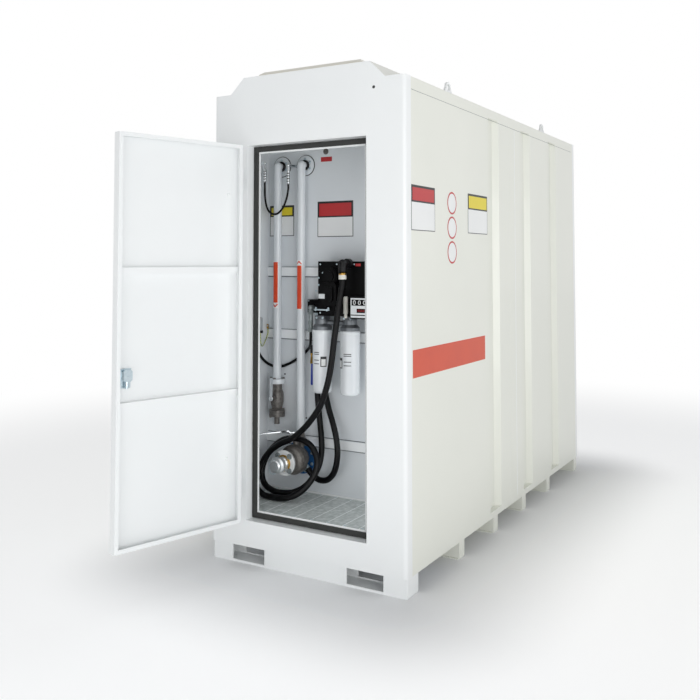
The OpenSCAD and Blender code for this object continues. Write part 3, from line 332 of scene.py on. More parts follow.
# Nitrile hose cover, cured in cloth wrap: black with a soft sheen
hose_rubber = surface("cloth-wrapped nitrile hose", "030304", "0A0A0C", 45, 0.36, 0.08, 4, 0.2, sheen=0.2)
# Polypropylene, injection moulded: black satin
black_plastic = surface("moulded black polypropylene", "08080A", "131315", 40, 0.42, 0.06, 3, 0.12, sheen=0.3)
# Black enamel over sand-cast iron and folded sheet: semi gloss, with the casting's grain under it
black_enamel = surface("black enamel over castings", "030304", "0A0A0B", 50, 0.4, 0.08, 4, 0.3, sheen=0.1)
# Cast iron, handled and oily: nearly black, with bare grey patches and a coarse skin
cast_iron = surface("oiled cast iron", "0A0909", "8E8A85", 15, 0.42, 0.14, 6, 2.4, metallic=0.35, detail=12)
# Grey die-cast aluminium of the filter heads
cast_aluminium = surface("die-cast aluminium", "5E6266", "8A8E92", 30, 0.45, 0.1, 5, 0.5, metallic=0.8, detail=5)
# Zinc plate, blue passivated: bright with a bluish cast
zinc_plate = surface("blue passivated zinc plate", "A9BCC6", "DCE6EA", 18, 0.3, 0.1, 6, 0.2, metallic=0.9)
# Turned aluminium: pale, with a satin cut
turned_aluminium = surface("turned aluminium", "C6CACC", "E6E9EA", 30, 0.32, 0.08, 2, 0.1, metallic=0.85)
# Turned brass: warm yellow, with a satin cut
turned_brass = surface("turned brass", "9A7434", "CFA75A", 20, 0.3, 0.08, 3, 0.1, metallic=1.0)
# Blue enamel on the coupling's ring
ring_enamel = surface("blue enamel", "1A4F86", "2F74B4", 40, 0.35, 0.08, 5, 0.2, coat=0.1)
# Baked enamel of the filter cans
can_enamel = surface("baked white enamel", "DDE2E6", "EEF1F3", 120, 0.22, 0.04, 8, 0.08, coat=0.4)
# Polyester-epoxy enamel on the roof's lid: a creamier batch
cream_enamel = surface("cream enamel, sprayed", "E9E6D9", "F0EDE2", 500, 0.35, 0.05, 9, 0.15, coat=0.1)
# Zinc primer on the inner tank, which the compartment hides
tank_primer = surface("grey zinc primer", "7C7A76", "93918C", 300, 0.6, 0.06, 8, 0.2)
# Nylon sleeve on the drain valve's handle: plain blue
blue_sleeve = surface("blue nylon sleeve", "1C2F8C", "2A41A8", 30, 0.4, 0.05, 3, 0.1)
# Acetal swivel under the nozzle: ivory white and satin
ivory_plastic = surface("ivory acetal", "DAD8CE", "ECEAE2", 30, 0.35, 0.05, 3, 0.1)
# Polished stainless steel for the levers: bright, with hard edges to its highlights
polished_steel = surface("polished stainless steel", "D4D8DA", "F4F5F6", 20, 0.15, 0.04, 4, 0.05, metallic=1.0)
# Zinc that has weathered: grey, dull and a little blotchy
aged_zinc = surface("weathered zinc plate", "5F676A", "A9B1B1", 16, 0.48, 0.1, 6, 0.3, metallic=0.6)
# Silver paint on the coupling's face plate: nearly white and satin
silver_paint = surface("silver paint, satin", "D9DBDC", "EEEFEF", 30, 0.35, 0.06, 4, 0.15, metallic=0.25)
# The rails' faces are drawn in the compartment's enamel, a shade brighter than the bulkhead: a painted highlight on the
# proud rails
lit_rail_enamel = surface("compartment enamel, lightened as painted highlight", "F1F4F6", "F8FAFB", 420, 0.36, 0.05, 8, 0.12)
# Grey strips: under the bulkhead's rails a painted shadow, and sealant along the rails' top edges and in the side
# panels' top rail joints
sealant_and_shadow = surface("grey sealant and painted shadow", "5C6165", "767B7F", 60, 0.55, 0.05, 5, 0.3)


def vinyl(name, low, high):
    """Vinyl film for the plain plates, bands and arrows: flat, and without a grain that shows."""
    return surface(f"{name} vinyl film", low, high, 200, 0.4, 0.05, 6, 0.05)


orange_vinyl = vinyl("orange", "C8452A", "D9583A")
bright_vinyl = vinyl("bright orange", "DC3E14", "E84E22")
yellow_vinyl = vinyl("yellow", "DCC92A", "E9D840")
dark_vinyl = vinyl("black", "1B1C1E", "292A2C")
white_vinyl = vinyl("white", "E6E8E8", "F2F3F3")
red_vinyl = vinyl("red", "B3282C", "C43A3C")


JOINT_PITCH = 95
JOINT_WIDTH = 6


def deck_finish():
    """Green-grey epoxy paint over steel floor plate, worn in blotches, with pale sealant in its joints."""
    material = surface("worn epoxy floor paint", "64766F", "F8FBFB", 26, 0.42, 0.12, 9, 0.6, detail=12)
    tree = material.node_tree
    spot = add(tree, "ShaderNodeSeparateXYZ", {"Vector": spot_of(material)})
    panel = add(tree, "ShaderNodeMath", {0: spot.outputs["X"], 1: 1000 / JOINT_PITCH}, operation="MULTIPLY")
    within = add(tree, "ShaderNodeMath", {0: panel.outputs[0]}, operation="FRACT")
    joint = add(tree, "ShaderNodeMath", {
        0: within.outputs[0], 1: JOINT_WIDTH / JOINT_PITCH,
    }, operation="LESS_THAN")
    recolour(material, joint.outputs[0], "F2F6F6")
    return material


PANEL_SKIN = 2.5  # deeper than this in a side panel, a face looks into the compartment
ROOF_EDGE = 60


def two_sided_enamel():
    """The side enamel outside, and the compartment's pale blue grey, a painted shade, on the faces that look into the
    compartment.
    """
    tree = side_enamel.node_tree
    spot = add(tree, "ShaderNodeSeparateXYZ", {"Vector": spot_of(side_enamel)})
    aside = add(tree, "ShaderNodeMath", {0: spot.outputs["X"]}, operation="ABSOLUTE")
    inward = add(tree, "ShaderNodeMath", {
        0: aside.outputs[0], 1: (HALF_WIDTH - PANEL_SKIN) / 1000,
    }, operation="LESS_THAN")
    before = add(tree, "ShaderNodeMath", {
        0: spot.outputs["Y"], 1: (BULKHEAD - FRONT_SETBACK) / 1000,
    }, operation="LESS_THAN")
    below = add(tree, "ShaderNodeMath", {
        0: spot.outputs["Z"], 1: (ROOF_Z - ROOF_EDGE) / 1000,
    }, operation="LESS_THAN")
    both = add(tree, "ShaderNodeMath", {0: inward.outputs[0], 1: before.outputs[0]}, operation="MULTIPLY")
    inside = add(tree, "ShaderNodeMath", {0: both.outputs[0], 1: below.outputs[0]}, operation="MULTIPLY")
    recolour(side_enamel, inside.outputs[0], "E2E6E9")


def striped_insulation():
    """Earth wire insulation: PVC in green and yellow, whose stripes wind round it about every 12 mm."""
    material = surface("striped PVC insulation", "4E7A2E", "5F8C3A", 20, 0.4, 0.05, 2, 0.05)
    tree = material.node_tree
    bands = add(tree, "ShaderNodeTexWave", {
        "Vector": spot_of(material), "Scale": 40.0, "Distortion": 1.0,
    }, bands_direction="DIAGONAL")
    stripe = add(tree, "ShaderNodeMath", {0: bands.outputs["Fac"], 1: 0.45}, operation="GREATER_THAN")
    recolour(material, stripe.outputs[0], "C9C23C")
    return material


two_sided_enamel()
deck_paint = deck_finish()
wire_insulation = striped_insulation()

# The record's slot that each finish of an added piece stands in
SLOTS = {finish: slot for slot, finishes in {
    "front_paint": [front_enamel, ivory_plastic, white_vinyl],
    "side_paint": [side_enamel, cream_enamel],
    "interior_paint": [lit_rail_enamel, sealant_and_shadow],
    "pipe_paint": [pipe_enamel, red_vinyl, yellow_vinyl, orange_vinyl, bright_vinyl],
    "blue_ring": [ring_enamel, blue_sleeve],
    "seal_rubber": [seal_rubber],
    "hose_rubber": [hose_rubber],
    "wire_pvc": [wire_insulation],
    "black_plastic": [black_plastic, dark_vinyl],
    "cast_body": [cast_iron],
    "zinc_plate": [zinc_plate, aged_zinc, polished_steel],
    "machined_metal": [turned_aluminium, turned_brass, silver_paint],
}.items() for finish in finishes}

# The nodes of part.scad that each finish is laid on
CAD_FINISHES = {
    front_enamel: [
        "front_bearer", "front_left_post", "front_right_post", "front_header", "front_sill", "rear_wall",
        "lug_front_left", "lug_front_right", "lug_rear_left", "lug_rear_right",
        "door_jamb", "door_pan", "door_ribs", "door_hinges", "frame_hinges",
    ],
    side_enamel: [
        "left_side_panel", "right_side_panel", "left_top_rail", "right_top_rail", "left_bottom_rail",
        "right_bottom_rail", "roof_panel", "base_plate", "bearer_2", "bearer_3", "bearer_4", "bearer_5", "rear_bearer",
    ],
    cream_enamel: ["roof_lid"],
    shaded_inside_enamel: ["bulkhead"],
    deck_paint: ["floor_deck"],
    seal_rubber: ["door_seal"],
    pipe_enamel: ["supply_pipe", "fill_pipe"],
    black_plastic: ["pipe_plugs", "nozzle"],
    black_enamel: ["pump_cabinet", "pump", "meter", "junction_box"],
    cast_iron: ["supply_valve", "fill_valve"],
    cast_aluminium: ["filter_heads"],
    zinc_plate: ["door_lock", "hose_outlets", "suction_stub"],
    aged_zinc: ["return_elbow"],
    polished_steel: ["supply_lever", "fill_lever", "wall_fittings"],
    turned_aluminium: ["fill_coupling", "vent_canister"],
    ring_enamel: ["fill_ring"],
    can_enamel: ["filters"],
    tank_primer: ["inner_tank"],
    hose_rubber: ["delivery_hose", "suction_hose", "return_hose", "vent_hose"],
    wire_insulation: ["earth_wire"],
}
for finish, nodes in CAD_FINISHES.items():
    for node in nodes:
        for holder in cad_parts[node].material_slots:
            holder.material = finish


# Films: thin sheets laid on the object by put(along, up, height over the surface)


def film(corners, put, columns=1, low=0.1, high=0.6):
    """A thin film over four corners (along, up)."""
    a, b, c, d = corners
    rings = []
    for i in range(columns + 1):
        t = i / columns
        foot = [a[k] + (b[k] - a[k]) * t for k in (0, 1)]
        head = [d[k] + (c[k] - d[k]) * t for k in (0, 1)]
        rings.append([put(*foot, low), put(*foot, high), put(*head, high), put(*head, low)])
    return loft(rings)


def plate(x0, x1, z0, z1, put, columns=1, low=0.1, high=0.6):
    """A rectangular film."""
    return film([(x0, z0), (x1, z0), (x1, z1), (x0, z1)], put, columns, low, high)


def disc(centre, radius, put, low=0.1, high=0.6):
    """A round film."""
    rim = circle(40, radius)
    return loft([[put(centre[0] + a, centre[1] + b, height) for a, b in rim] for height in (low, high)])


def round_wall(axis_x, out, radius):
    """Lays films round a standing cylinder: along is the arc from the front, in millimetres to the right."""
    def put(along, up, height):
        a = along / radius
        return axis_x + (radius + height) * math.sin(a), out - (radius + height) * math.cos(a), up
    return put


def flat_face(out):
    """Lays films on a face that looks forward, at a distance from the bulkhead."""
    return lambda along, up, height: (along, out - height, up)


def side_face(along, up, height):
    """Lays films on the right side panel: along is the distance behind the front face."""
    return HALF_WIDTH + height, along, up


bulkhead_face = flat_face(0)


# Repeats made with Geometry Nodes: a small shape on each of many points, turned the way its point faces


def tree_for(name, sizes):
    """A new tree and its inputs: a geometry, and sizes in metres."""
    tree = bpy.data.node_groups.new(f"{name} tree", "GeometryNodeTree")
    tree.interface.new_socket("Geometry", in_out="INPUT", socket_type="NodeSocketGeometry")
    for label in sizes:
        tree.interface.new_socket(label, in_out="INPUT", socket_type="NodeSocketFloat")
    tree.interface.new_socket("Geometry", in_out="OUTPUT", socket_type="NodeSocketGeometry")
    return tree, add(tree, "NodeGroupInput").outputs


def lay_out(tree, points, shape, facing, turn, finish):
    """Ends a tree: a shape on each point, its top along facing and turned about it, as one painted mesh."""
    aim = add(tree, "FunctionNodeAlignRotationToVector", {"Vector": facing}, axis="Z")
    both = add(tree, "FunctionNodeRotateRotation", {
        "Rotation": aim.outputs[0], "Rotate By": turn.outputs[0],
    }, rotation_space="LOCAL")
    spread = add(tree, "GeometryNodeInstanceOnPoints", {
        "Points": points, "Instance": shape, "Rotation": both.outputs[0],
    })
    real = add(tree, "GeometryNodeRealizeInstances", {"Geometry": spread.outputs[0]})
    painted = add(tree, "GeometryNodeSetMaterial", {"Geometry": real.outputs[0], "Material": finish})
    add(tree, "NodeGroupOutput", {0: painted.outputs[0]})


def plain(holder, tree, sizes, slot, body):
    """Turns what a tree makes into a plain mesh that rides on a body."""
    maker = holder.modifiers.new("maker", "NODES")
    maker.node_group = tree
    for item in tree.interface.items_tree:
        if item.in_out == "INPUT" and item.name in sizes:
            maker[item.identifier] = sizes[item.name]
    bpy.context.view_layer.update()
    result = bpy.data.meshes.new_from_object(holder.evaluated_get(bpy.context.evaluated_depsgraph_get()))
    result.name = holder.name
    holder.modifiers.remove(maker)
    holder.data = result
    result.set_sharp_from_angle(angle=CREASE)
    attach(holder, body)


TURN_SEED = 7
FULL_TURN = 6.28


def repeat(name, kind, places, finish, radius, height=None, body="tank", fitted=None):
    """Small shapes of one kind on places (point, facing), each at a random turn about its facing."""
    sizes = {"Radius": radius / 1000}
    if height:
        sizes["Height"] = height / 1000
    mesh = bpy.data.meshes.new(name)
    mesh.from_pydata([place(fitted(p) if fitted else p) for p, _ in places], [], [])
    facing = mesh.attributes.new("facing", "FLOAT_VECTOR", "POINT")
    for i, (p, direction) in enumerate(places):
        way = Vector(direction)
        if fitted:
            way = place(fitted(Vector(p) + way)) - place(fitted(p))
        facing.data[i].vector = way.normalized()
    tree, given = tree_for(name, sizes)
    shape = kind(tree, given)
    way = add(tree, "GeometryNodeInputNamedAttribute", {"Name": "facing"}, data_type="FLOAT_VECTOR")
    spin = add(tree, "FunctionNodeRandomValue", {"Max": FULL_TURN, "Seed": TURN_SEED}, data_type="FLOAT")
    angle = next(o for o in spin.outputs if o.enabled and o.type == "VALUE")
    turn = add(tree, "FunctionNodeAxisAngleToRotation", {"Axis": UP, "Angle": angle})
    lay_out(tree, given["Geometry"], shape, way.outputs["Attribute"], turn, finish)
    plain(linked(name, mesh), tree, sizes, SLOTS[finish], body)


def hex_head(tree, given):
    """A hexagon head with a round washer face under it."""
    head = add(tree, "GeometryNodeMeshCylinder", {"Vertices": 6, "Radius": given["Radius"], "Depth": given["Height"]})
    half = add(tree, "ShaderNodeMath", {0: given["Height"], 1: 0.5}, operation="MULTIPLY")
    up = add(tree, "ShaderNodeCombineXYZ", {"Z": half.outputs[0]})
    raised = add(tree, "GeometryNodeTransform", {"Geometry": head.outputs["Mesh"], "Translation": up.outputs[0]})
    wide = add(tree, "ShaderNodeMath", {0: given["Radius"], 1: 1.25}, operation="MULTIPLY")
    low = add(tree, "ShaderNodeMath", {0: given["Height"], 1: 0.3}, operation="MULTIPLY")
    washer = add(tree, "GeometryNodeMeshCylinder", {
        "Vertices": 20, "Radius": wide.outputs[0], "Depth": low.outputs[0],
    })
    lift = add(tree, "ShaderNodeMath", {0: low.outputs[0], 1: 0.5}, operation="MULTIPLY")
    over = add(tree, "ShaderNodeCombineXYZ", {"Z": lift.outputs[0]})
    laid = add(tree, "GeometryNodeTransform", {"Geometry": washer.outputs["Mesh"], "Translation": over.outputs[0]})
    both = add(tree, "GeometryNodeJoinGeometry")
    tree.links.new(raised.outputs[0], both.inputs[0])
    tree.links.new(laid.outputs[0], both.inputs[0])
    return both.outputs[0]


def dome_head(tree, given):
    """A low round head, as on a rivet or a pan-head screw."""
    ball = add(tree, "GeometryNodeMeshUVSphere", {"Segments": 14, "Rings": 8, "Radius": given["Radius"]})
    share = add(tree, "ShaderNodeMath", {0: given["Height"], 1: given["Radius"]}, operation="DIVIDE")
    squash = add(tree, "ShaderNodeCombineXYZ", {"X": 1.0, "Y": 1.0, "Z": share.outputs[0]})
    return add(tree, "GeometryNodeTransform", {"Geometry": ball.outputs["Mesh"], "Scale": squash.outputs[0]}).outputs[0]


def weld_bead(tree, given):
    """One ripple of a weld: a flat drop."""
    ball = add(tree, "GeometryNodeMeshIcoSphere", {"Radius": given["Radius"], "Subdivisions": 2})
    flat = add(tree, "ShaderNodeCombineXYZ", {"X": 1.0, "Y": 1.0, "Z": 0.55})
    return add(tree, "GeometryNodeTransform", {"Geometry": ball.outputs["Mesh"], "Scale": flat.outputs[0]}).outputs[0]


# Cords, with the route points of part.scad

HOSE_RADIUS = 17
DELIVERY_ROUTE = [
    (639, -200, 1490), (639, -200, 1465), (625, -203, 1380), (610, -208, 1280), (595, -214, 1160),
    (581, -219, 1040), (556, -221, 920), (507, -214, 805), (430, -200, 710), (350, -183, 640), (275, -170, 592),
    (205, -166, 559), (145, -172, 514), (105, -186, 455), (86, -208, 385), (98, -230, 322),
    (150, -240, 290), (225, -242, 286), (300, -237, 291), (362, -221, 316), (410, -190, 364), (437, -153, 430),
    (435, -133, 498), (396, -126, 559), (337, -128, 589), (271, -130, 593), (200, -130, 575),
    (135, -135, 524), (92, -144, 460), (80, -158, 388), (108, -171, 330), (170, -183, 304),
    (240, -187, 300), (315, -177, 312), (380, -148, 354), (419, -106, 430), (427, -76, 504),
    (417, -57, 585), (396, -41, 680), (377, -31, 785), (370, -30, 900), (370, -30, 990),
]
SUCTION_ROUTE = [
    (328, -60, 416), (359, -60, 386), (405, -60, 364), (459, -64, 372), (503, -71, 412), (529, -79, 472),
    (537, -82, 540), (525, -76, 612), (497, -64, 684), (461, -48, 755), (432, -36, 832), (415, -30, 910),
    (415, -30, 990),
]
RETURN_ROUTE = [
    (42, -160, 1160), (42, -160, 1125), (38, -142, 1068), (36, -104, 1026), (44, -56, 989), (70, -17, 969),
    (120, -11, 974), (185, -11, 1001), (245, -11, 1038), (300, -21, 1080), (338, -54, 1108), (368, -95, 1158),
    (368, -95, 1190),
]
VENT_ROUTE = [
    (48, -100, 2051), (48, -100, 2015), (51, -101, 1960), (65, -103, 1903), (95, -105, 1867),
    (138, -105, 1861), (177, -103, 1892), (203, -101, 1946), (214, -100, 2000), (214, -100, 2031),
]
EARTH_ROUTE = [
    (60, -150, 1175), (60, -150, 1155), (50, -134, 1113), (34, -98, 1093), (20, -56, 1110), (14, -17, 1158),
    (14, -17, 1190),
]


HOSE_STEPS = 6  # points of the curve for each point of a route


def hose(name, route, radius, finish, node, sides=16):
    """A hose between two fittings, swept along its route."""
    line = [on_wall(p) for p in smooth_route(route, HOSE_STEPS)]
    piece = make(name, [swept(line, radius, sides)], finish, stands_for=[node])
    path = [place(p) for p in line]


hose("delivery_hose_rubber", DELIVERY_ROUTE, HOSE_RADIUS, hose_rubber, "delivery_hose")
hose("suction_hose_rubber", SUCTION_ROUTE, HOSE_RADIUS, hose_rubber, "suction_hose")
hose("return_hose_rubber", RETURN_ROUTE, 8, hose_rubber, "return_hose")
hose("vent_hose_rubber", VENT_ROUTE, 6, hose_rubber, "vent_hose")
hose("earth_wire_insulation", EARTH_ROUTE, 2.5, wire_insulation, "earth_wire", sides=10)


# Plates and labels, all bare


def sign(name, x0, x1, z0, z1, band, put, field, fitted=None):
    """A bare plate: a dark rim, a white face and a dark band across its top, with a plain coloured field in it."""
    rim, inset, sill = 4, 12, 8
    layers = (
        ("rim", (x0, x1, z0, z1), dark_vinyl, 0.1, 0.5),
        ("face", (x0 + rim, x1 - rim, z0 + rim, z1 - rim), white_vinyl, 0.4, 0.9),
        ("band", (x0 + rim, x1 - rim, z1 - band, z1 - rim), dark_vinyl, 0.8, 1.3),
        ("field", (x0 + inset, x1 - inset, z1 - band + sill, z1 - inset), field, 1.2, 1.7),
    )
    for layer, edges, finish, low, high in layers:
        make(f"{name}_{layer}", [plate(*edges, put, low=low, high=high)], finish, fitted=fitted)


sign("inside_plate_left", 15, 188, 1735, 1916, 66, bulkhead_face, yellow_vinyl, on_wall)
sign("inside_plate_right", 352, 590, 1726, 1930, 92, bulkhead_face, red_vinyl, on_wall)
sign("side_plate_front", 60, 333, 1737, 1960, 84, side_face, red_vinyl)
sign("side_plate_rear", 770, 1062, 1742, 1964, 88, side_face, yellow_vinyl)
for i, height in enumerate((1896, 1765, 1634)):
    middle = (550, height)
    make(f"side_disc_{i + 1}_rim", [disc(middle, 60, side_face, high=0.5)], red_vinyl)
    make(f"side_disc_{i + 1}_face", [disc(middle, 51, side_face, low=0.4, high=0.9)], white_vinyl)
make("side_stripe", [plate(72, 1014, 1024, 1159, side_face)], orange_vinyl)
wall_piece("small_red_label", [plate(374, 449, 2160, 2187, bulkhead_face)], red_vinyl)


def chevron(half, base, rise, thick):
    """The two arms of an arrowhead, as corners for films; rise is negative for one that points down."""
    left = [(-half, base), (0, base + rise), (0, base + rise + thick), (-half, base + thick)]
    right = [(0, base + rise), (half, base), (half, base + thick), (0, base + rise + thick)]
    return left, right


PIPE_RADIUS = 24
ARROW_HALF = 16
ARROW_MARGIN = 3
ARROW_HEAD = 28  # the bar ends this far before the tip


def flow_arrow(name, pipe_x, low, high, points_up):
    """A bar and an arrowhead wrapped on a pipe, with a white margin."""
    put = round_wall(pipe_x, PIPE_OUT, PIPE_RADIUS)
    bar = (low, high - ARROW_HEAD) if points_up else (low + ARROW_HEAD, high)
    tip = chevron(ARROW_HALF, high - 24, 15, 9) if points_up else chevron(ARROW_HALF, low + 15, -15, 9)
    edge = ARROW_HALF + ARROW_MARGIN
    margin = plate(-edge, edge, low - ARROW_MARGIN, high + ARROW_MARGIN, put, 10, 0.1, 0.4)
    wall_piece(f"{name}_margin", [margin], white_vinyl)
    bar = plate(-ARROW_HALF, ARROW_HALF, *bar, put, 10, 0.35, 0.7)
    wall_piece(name, [bar, *[film(arm, put, 5, 0.35, 0.7) for arm in tip]], bright_vinyl)


flow_arrow("supply_arrow", SUPPLY_X, 1318, 1582, False)
flow_arrow("fill_arrow", FILL_X, 1314, 1590, True)


def filter_label(name, filter_x, start, end, rules):
    """A dark label with a pale field on a filter can, and plain rules beside it."""
    put = round_wall(filter_x, FILTER_OUT, FILTER_RADIUS)
    wall_piece(name, [plate(start, end, 1006, 1062, put, 8, 0.1, 0.4)], dark_vinyl)
    wall_piece(f"{name}_field", [plate(start + 5, end - 5, 1011, 1048, put, 6, 0.35, 0.6)], white_vinyl)
    lines = [plate(*rules, z, z + 4, put, 8, 0.1, 0.35) for z in (1082, 1072, 1040, 1020)]
    wall_piece(f"{name}_rules", lines, dark_vinyl)


filter_label("filter_label_1", FILTERS_X[0], 20, 54, (-22, 12))
filter_label("filter_label_2", FILTERS_X[1], -52, -18, (-8, 36))


# Pump set

CABINET_FRONT = -130
PUMP_PLATE_FRONT = -190.1
METER = (685, 1279)  # its lower left corner
METER_FRONT = -205
METER_PLATE = 1.6
DRUM_OUT = METER_FRONT + 3.6


def meter_bar(x0, x1, z0, z1):
    """A part of the meter's face plate, from the meter's corner."""
    return box(
        (METER[0] + x0, METER_FRONT - METER_PLATE, METER[1] + z0),
        (METER[0] + x1, METER_FRONT + 1, METER[1] + z1),
    )


def nought(x, z, width, height):
    """A plain nought, as a number drum shows."""
    sides = 20
    rings = []
    for scale, depth in ((1, 0), (1, -0.6), (0.55, -0.6), (0.55, 0)):
        across, up = width / 2 * scale, height / 2 * scale**0.6
        rings.append([(x + across * a, DRUM_OUT + depth, z + up * b) for a, b in circle(sides)])
    faces = []
    for r in range(len(rings)):
        here, there = r * sides, (r + 1) % len(rings) * sides
        faces += [(here + k, here + (k + 1) % sides, there + (k + 1) % sides, there + k) for k in range(sides)]
    return [p for ring in rings for p in ring], faces


wall_piece("meter_face", [meter_bar(*edges) for edges in (
    (8, 142, 104, 112), (8, 14, 72, 104), (136, 142, 72, 104), (8, 142, 56, 72),
    (8, 45, 34, 56), (105, 142, 34, 56), (8, 142, 24, 34), (8, 142, 8, 19),
)], turned_aluminium, 0.6)
wall_piece("meter_drums", [nought(METER[0] + 29 + 30.5 * i, METER[1] + 88, 17, 24) for i in range(4)], white_vinyl)
wall_piece("meter_total", [nought(METER[0] + 53 + 11 * i, METER[1] + 45, 7, 12) for i in range(5)], red_vinyl)
wall_piece("cabinet_label", [plate(680, 712, 1560, 1574, flat_face(CABINET_FRONT))], red_vinyl)
wall_piece("pump_plate", [plate(480, 520, 1383, 1408, flat_face(PUMP_PLATE_FRONT))], turned_aluminium)
wall_piece("pump_tie_bar", [
    box((450, -190, 1318), (548, -184, 1325)),
    *[turned((x, -190, 1321), OUT, [(0, 7), (4, 7), (5, 6)], 6) for x in (462, 536)],
], zinc_plate, 1.0)
wall_piece("air_eliminator", [
    turned((626, -144, 1300), UP, [(0, 9), (3, 13), (88, 13), (93, 11), (96, 6)], 28),
    turned((626, -144, 1278), UP, [(0, 7), (4, 9), (22, 9), (24, 8)], 24),
], ivory_plastic)
wall_piece("nozzle_swivel", [
    turned((*NOZZLE, 1489), UP, [(0, 19), (1, 21), (16, 21.6), (20, 20.6), (25, 20.6)]),
], ivory_plastic)
wall_piece("nozzle_ring", [
    turned((*NOZZLE, 1513), UP, [(0, 20.4), (1, 21.2), (9, 21.2), (10, 20.4), (14, 16)]),
], turned_brass)
wall_piece("valve_collar", [
    turned((SUPPLY_X, PIPE_OUT, 878), UP, [(0, 45.8), (1, 46.4), (26, 46.4), (27.6, 45.4), (27.8, 25)], 40),
], pipe_enamel)
wall_piece("canister_band", [
    turned((42, -160, 1174.6), UP, [(0, 34.2), (0.6, 34.8), (14, 34.8), (15, 34)], 36),
], black_plastic)
wall_piece("earth_lug", [
    box((9, -20.6, 1189), (19, -14.6, 1215)), turned((14, -13, 1186), UP, [(0, 3.6), (10, 3.6)], 16),
], turned_brass, 0.6)


# Fill coupling and the pipes' ends

wall_piece("coupling_face", [
    turned((FILL_X, -209.5, COUPLING_Z), OUT, [(0, 69), (6, 70), (7, 69.4), (8, 68)], 64),
], silver_paint)
wall_piece("coupling_seat", [
    turned((FILL_X, -217, COUPLING_Z), OUT, [(0, 45), (3.5, 45), (4.5, 43.5)], 40),
], turned_brass)
wall_piece("wall_plug", [
    turned((408, 0, 2218), OUT, [(0, 17), (2, 17), (3, 12), (7, 10), (8, 6)], 28),
], cast_iron)
# Two small holes in the bulkhead, drawn as thin black discs: painted shade inside the holes
wall_piece("bulkhead_hole_shadows", [
    turned((x, 0, z), OUT, [(0, 5), (0.4, 5)], 16) for x, z in ((127, 927), (278, 686))
], black_plastic)
# A dark rubber ring behind each white cover: painted shadow round the cover's rim
wall_piece("wall_cover_shadow_rings", [
    turned((x, 0, PIPE_TOP), OUT, [(0, 62), (3, 62)], 48) for x in (SUPPLY_X, FILL_X)
], seal_rubber, 0.5)
wall_piece("wall_covers", [
    turned((x, -2.5, PIPE_TOP), OUT, [(0, 58), (4, 58), (5.5, 56)], 48) for x in (SUPPLY_X, FILL_X)
], pipe_enamel, 0.8)
wall_piece("blue_flange", [
    turned((FILL_X, -24, COUPLING_Z), OUT, [(0, 94), (1, 94.6), (19, 94.6), (21, 92.6)], 72),
], ring_enamel)
wall_piece("vent_sleeves", [
    turned((x, -100, z), UP, [(0, 8.4), (72, 8.4)], 20) for x, z in ((48, 2053), (214, 2033))
], black_plastic)


# Bulkhead, deck and shell

WALL_RIGHT = 2 * HALF_WIDTH
RAILS = {"top": 1552, "middle": 1188, "low": 586}  # where each of the bulkhead's rails ends above

# Under each rail the wider grey strip is painted shadow; a thin strip runs along its top edge
for rail, top in RAILS.items():
    wall_piece(f"{rail}_rail_shadow_and_seal_lines", [
        box((7, -5, top - 58), (WALL_RIGHT - 7, 0.5, top - 51.5)),
        box((7, -3, top - 0.5), (WALL_RIGHT - 7, 0.5, top + 3)),
    ], sealant_and_shadow, 1.2)
# Each rail's face is a film in the lightened enamel: painted highlight on the rail
for rail, top in RAILS.items():
    face = box((8, -12.8, top - 50.5), (WALL_RIGHT - 8, -11.8, top - 1.5))
    wall_piece(f"{rail}_rail_face", [face], lit_rail_enamel, 0.4)
wall_piece("deck_skirting", [box((10, -7, 267.5), (WALL_RIGHT - 10, 0.5, 277))], front_enamel, 1.5)


def both_sides(low, high, middle=HALF_WIDTH):
    """A box on each side panel: low and high are its corners, from the line middle millimetres off the centre."""
    return [
        box((side * middle + low[0], *low[1:]), (side * middle + high[0], *high[1:])) for side in (-1, 1)
    ]


# The side panels are welded from two sheets, and their top edge is folded over the rail
make("side_seams", both_sides((-1.1, 1543, 130), (1.1, 1548, 2418)), front_enamel, "side_paint", edge=0.6)
make("top_rail_joints", both_sides((-0.5, 62, 2424.3), (0.5, 2830, 2426.3)), sealant_and_shadow, "side_paint", edge=0.3)

BEARER_ENDS = [
    ("front", 16, 136, front_enamel),
    *[(f"bearer_{i + 2}", y - BEARER_HALF, y + BEARER_HALF, side_enamel) for i, y in enumerate(BEARERS)],
    ("rear", 2834, 2902, side_enamel),
]
for name, start, end, finish in BEARER_ENDS:
    make(f"{name}_end_plates", both_sides((-6, start, 0.5), (6, end, 94.5), 574), finish, edge=3)

# Drain valve on the delivery pipe's sleeve, with its handle down
wall_piece("drain_valve", [
    turned((370, -44, 1022), OUT, [(0, 6), (44, 6)], 16),
    turned((*DRAIN, 1012), UP, [(0, 7), (4, 9), (18, 9), (22, 7), (34, 7), (38, 5)], 6),
    turned((*DRAIN, 1050), UP, [(0, 5), (8, 4.5), (10, 7), (20, 7), (22, 5)], 16),
], turned_brass)
wall_piece("drain_valve_tube", [
    turned((*DRAIN, 1070), UP, [(0, 7.4), (1, 8), (44, 8), (45, 7.4)], 20),
], black_plastic)
wall_piece("drain_valve_handle", [
    prism([(373, 893), (384, 893), (386, 900), (384, 1012), (373, 1012), (371, 900)], -99, -95),
], blue_sleeve, 1.0)


# Screws, bolts, rivets, weld beads and chain


def ring_of(x, out, z, radius, count, start):
    """Places round a circle on a face that looks forward."""
    turns = [start + 2 * math.pi * k / count for k in range(count)]
    return [((x + radius * math.cos(a), out, z + radius * math.sin(a)), OUT) for a in turns]


def grid(columns, out, rows, facing=OUT):
    """Places in columns and rows on one upright plane."""
    return [((x, out, z), facing) for x in columns for z in rows]


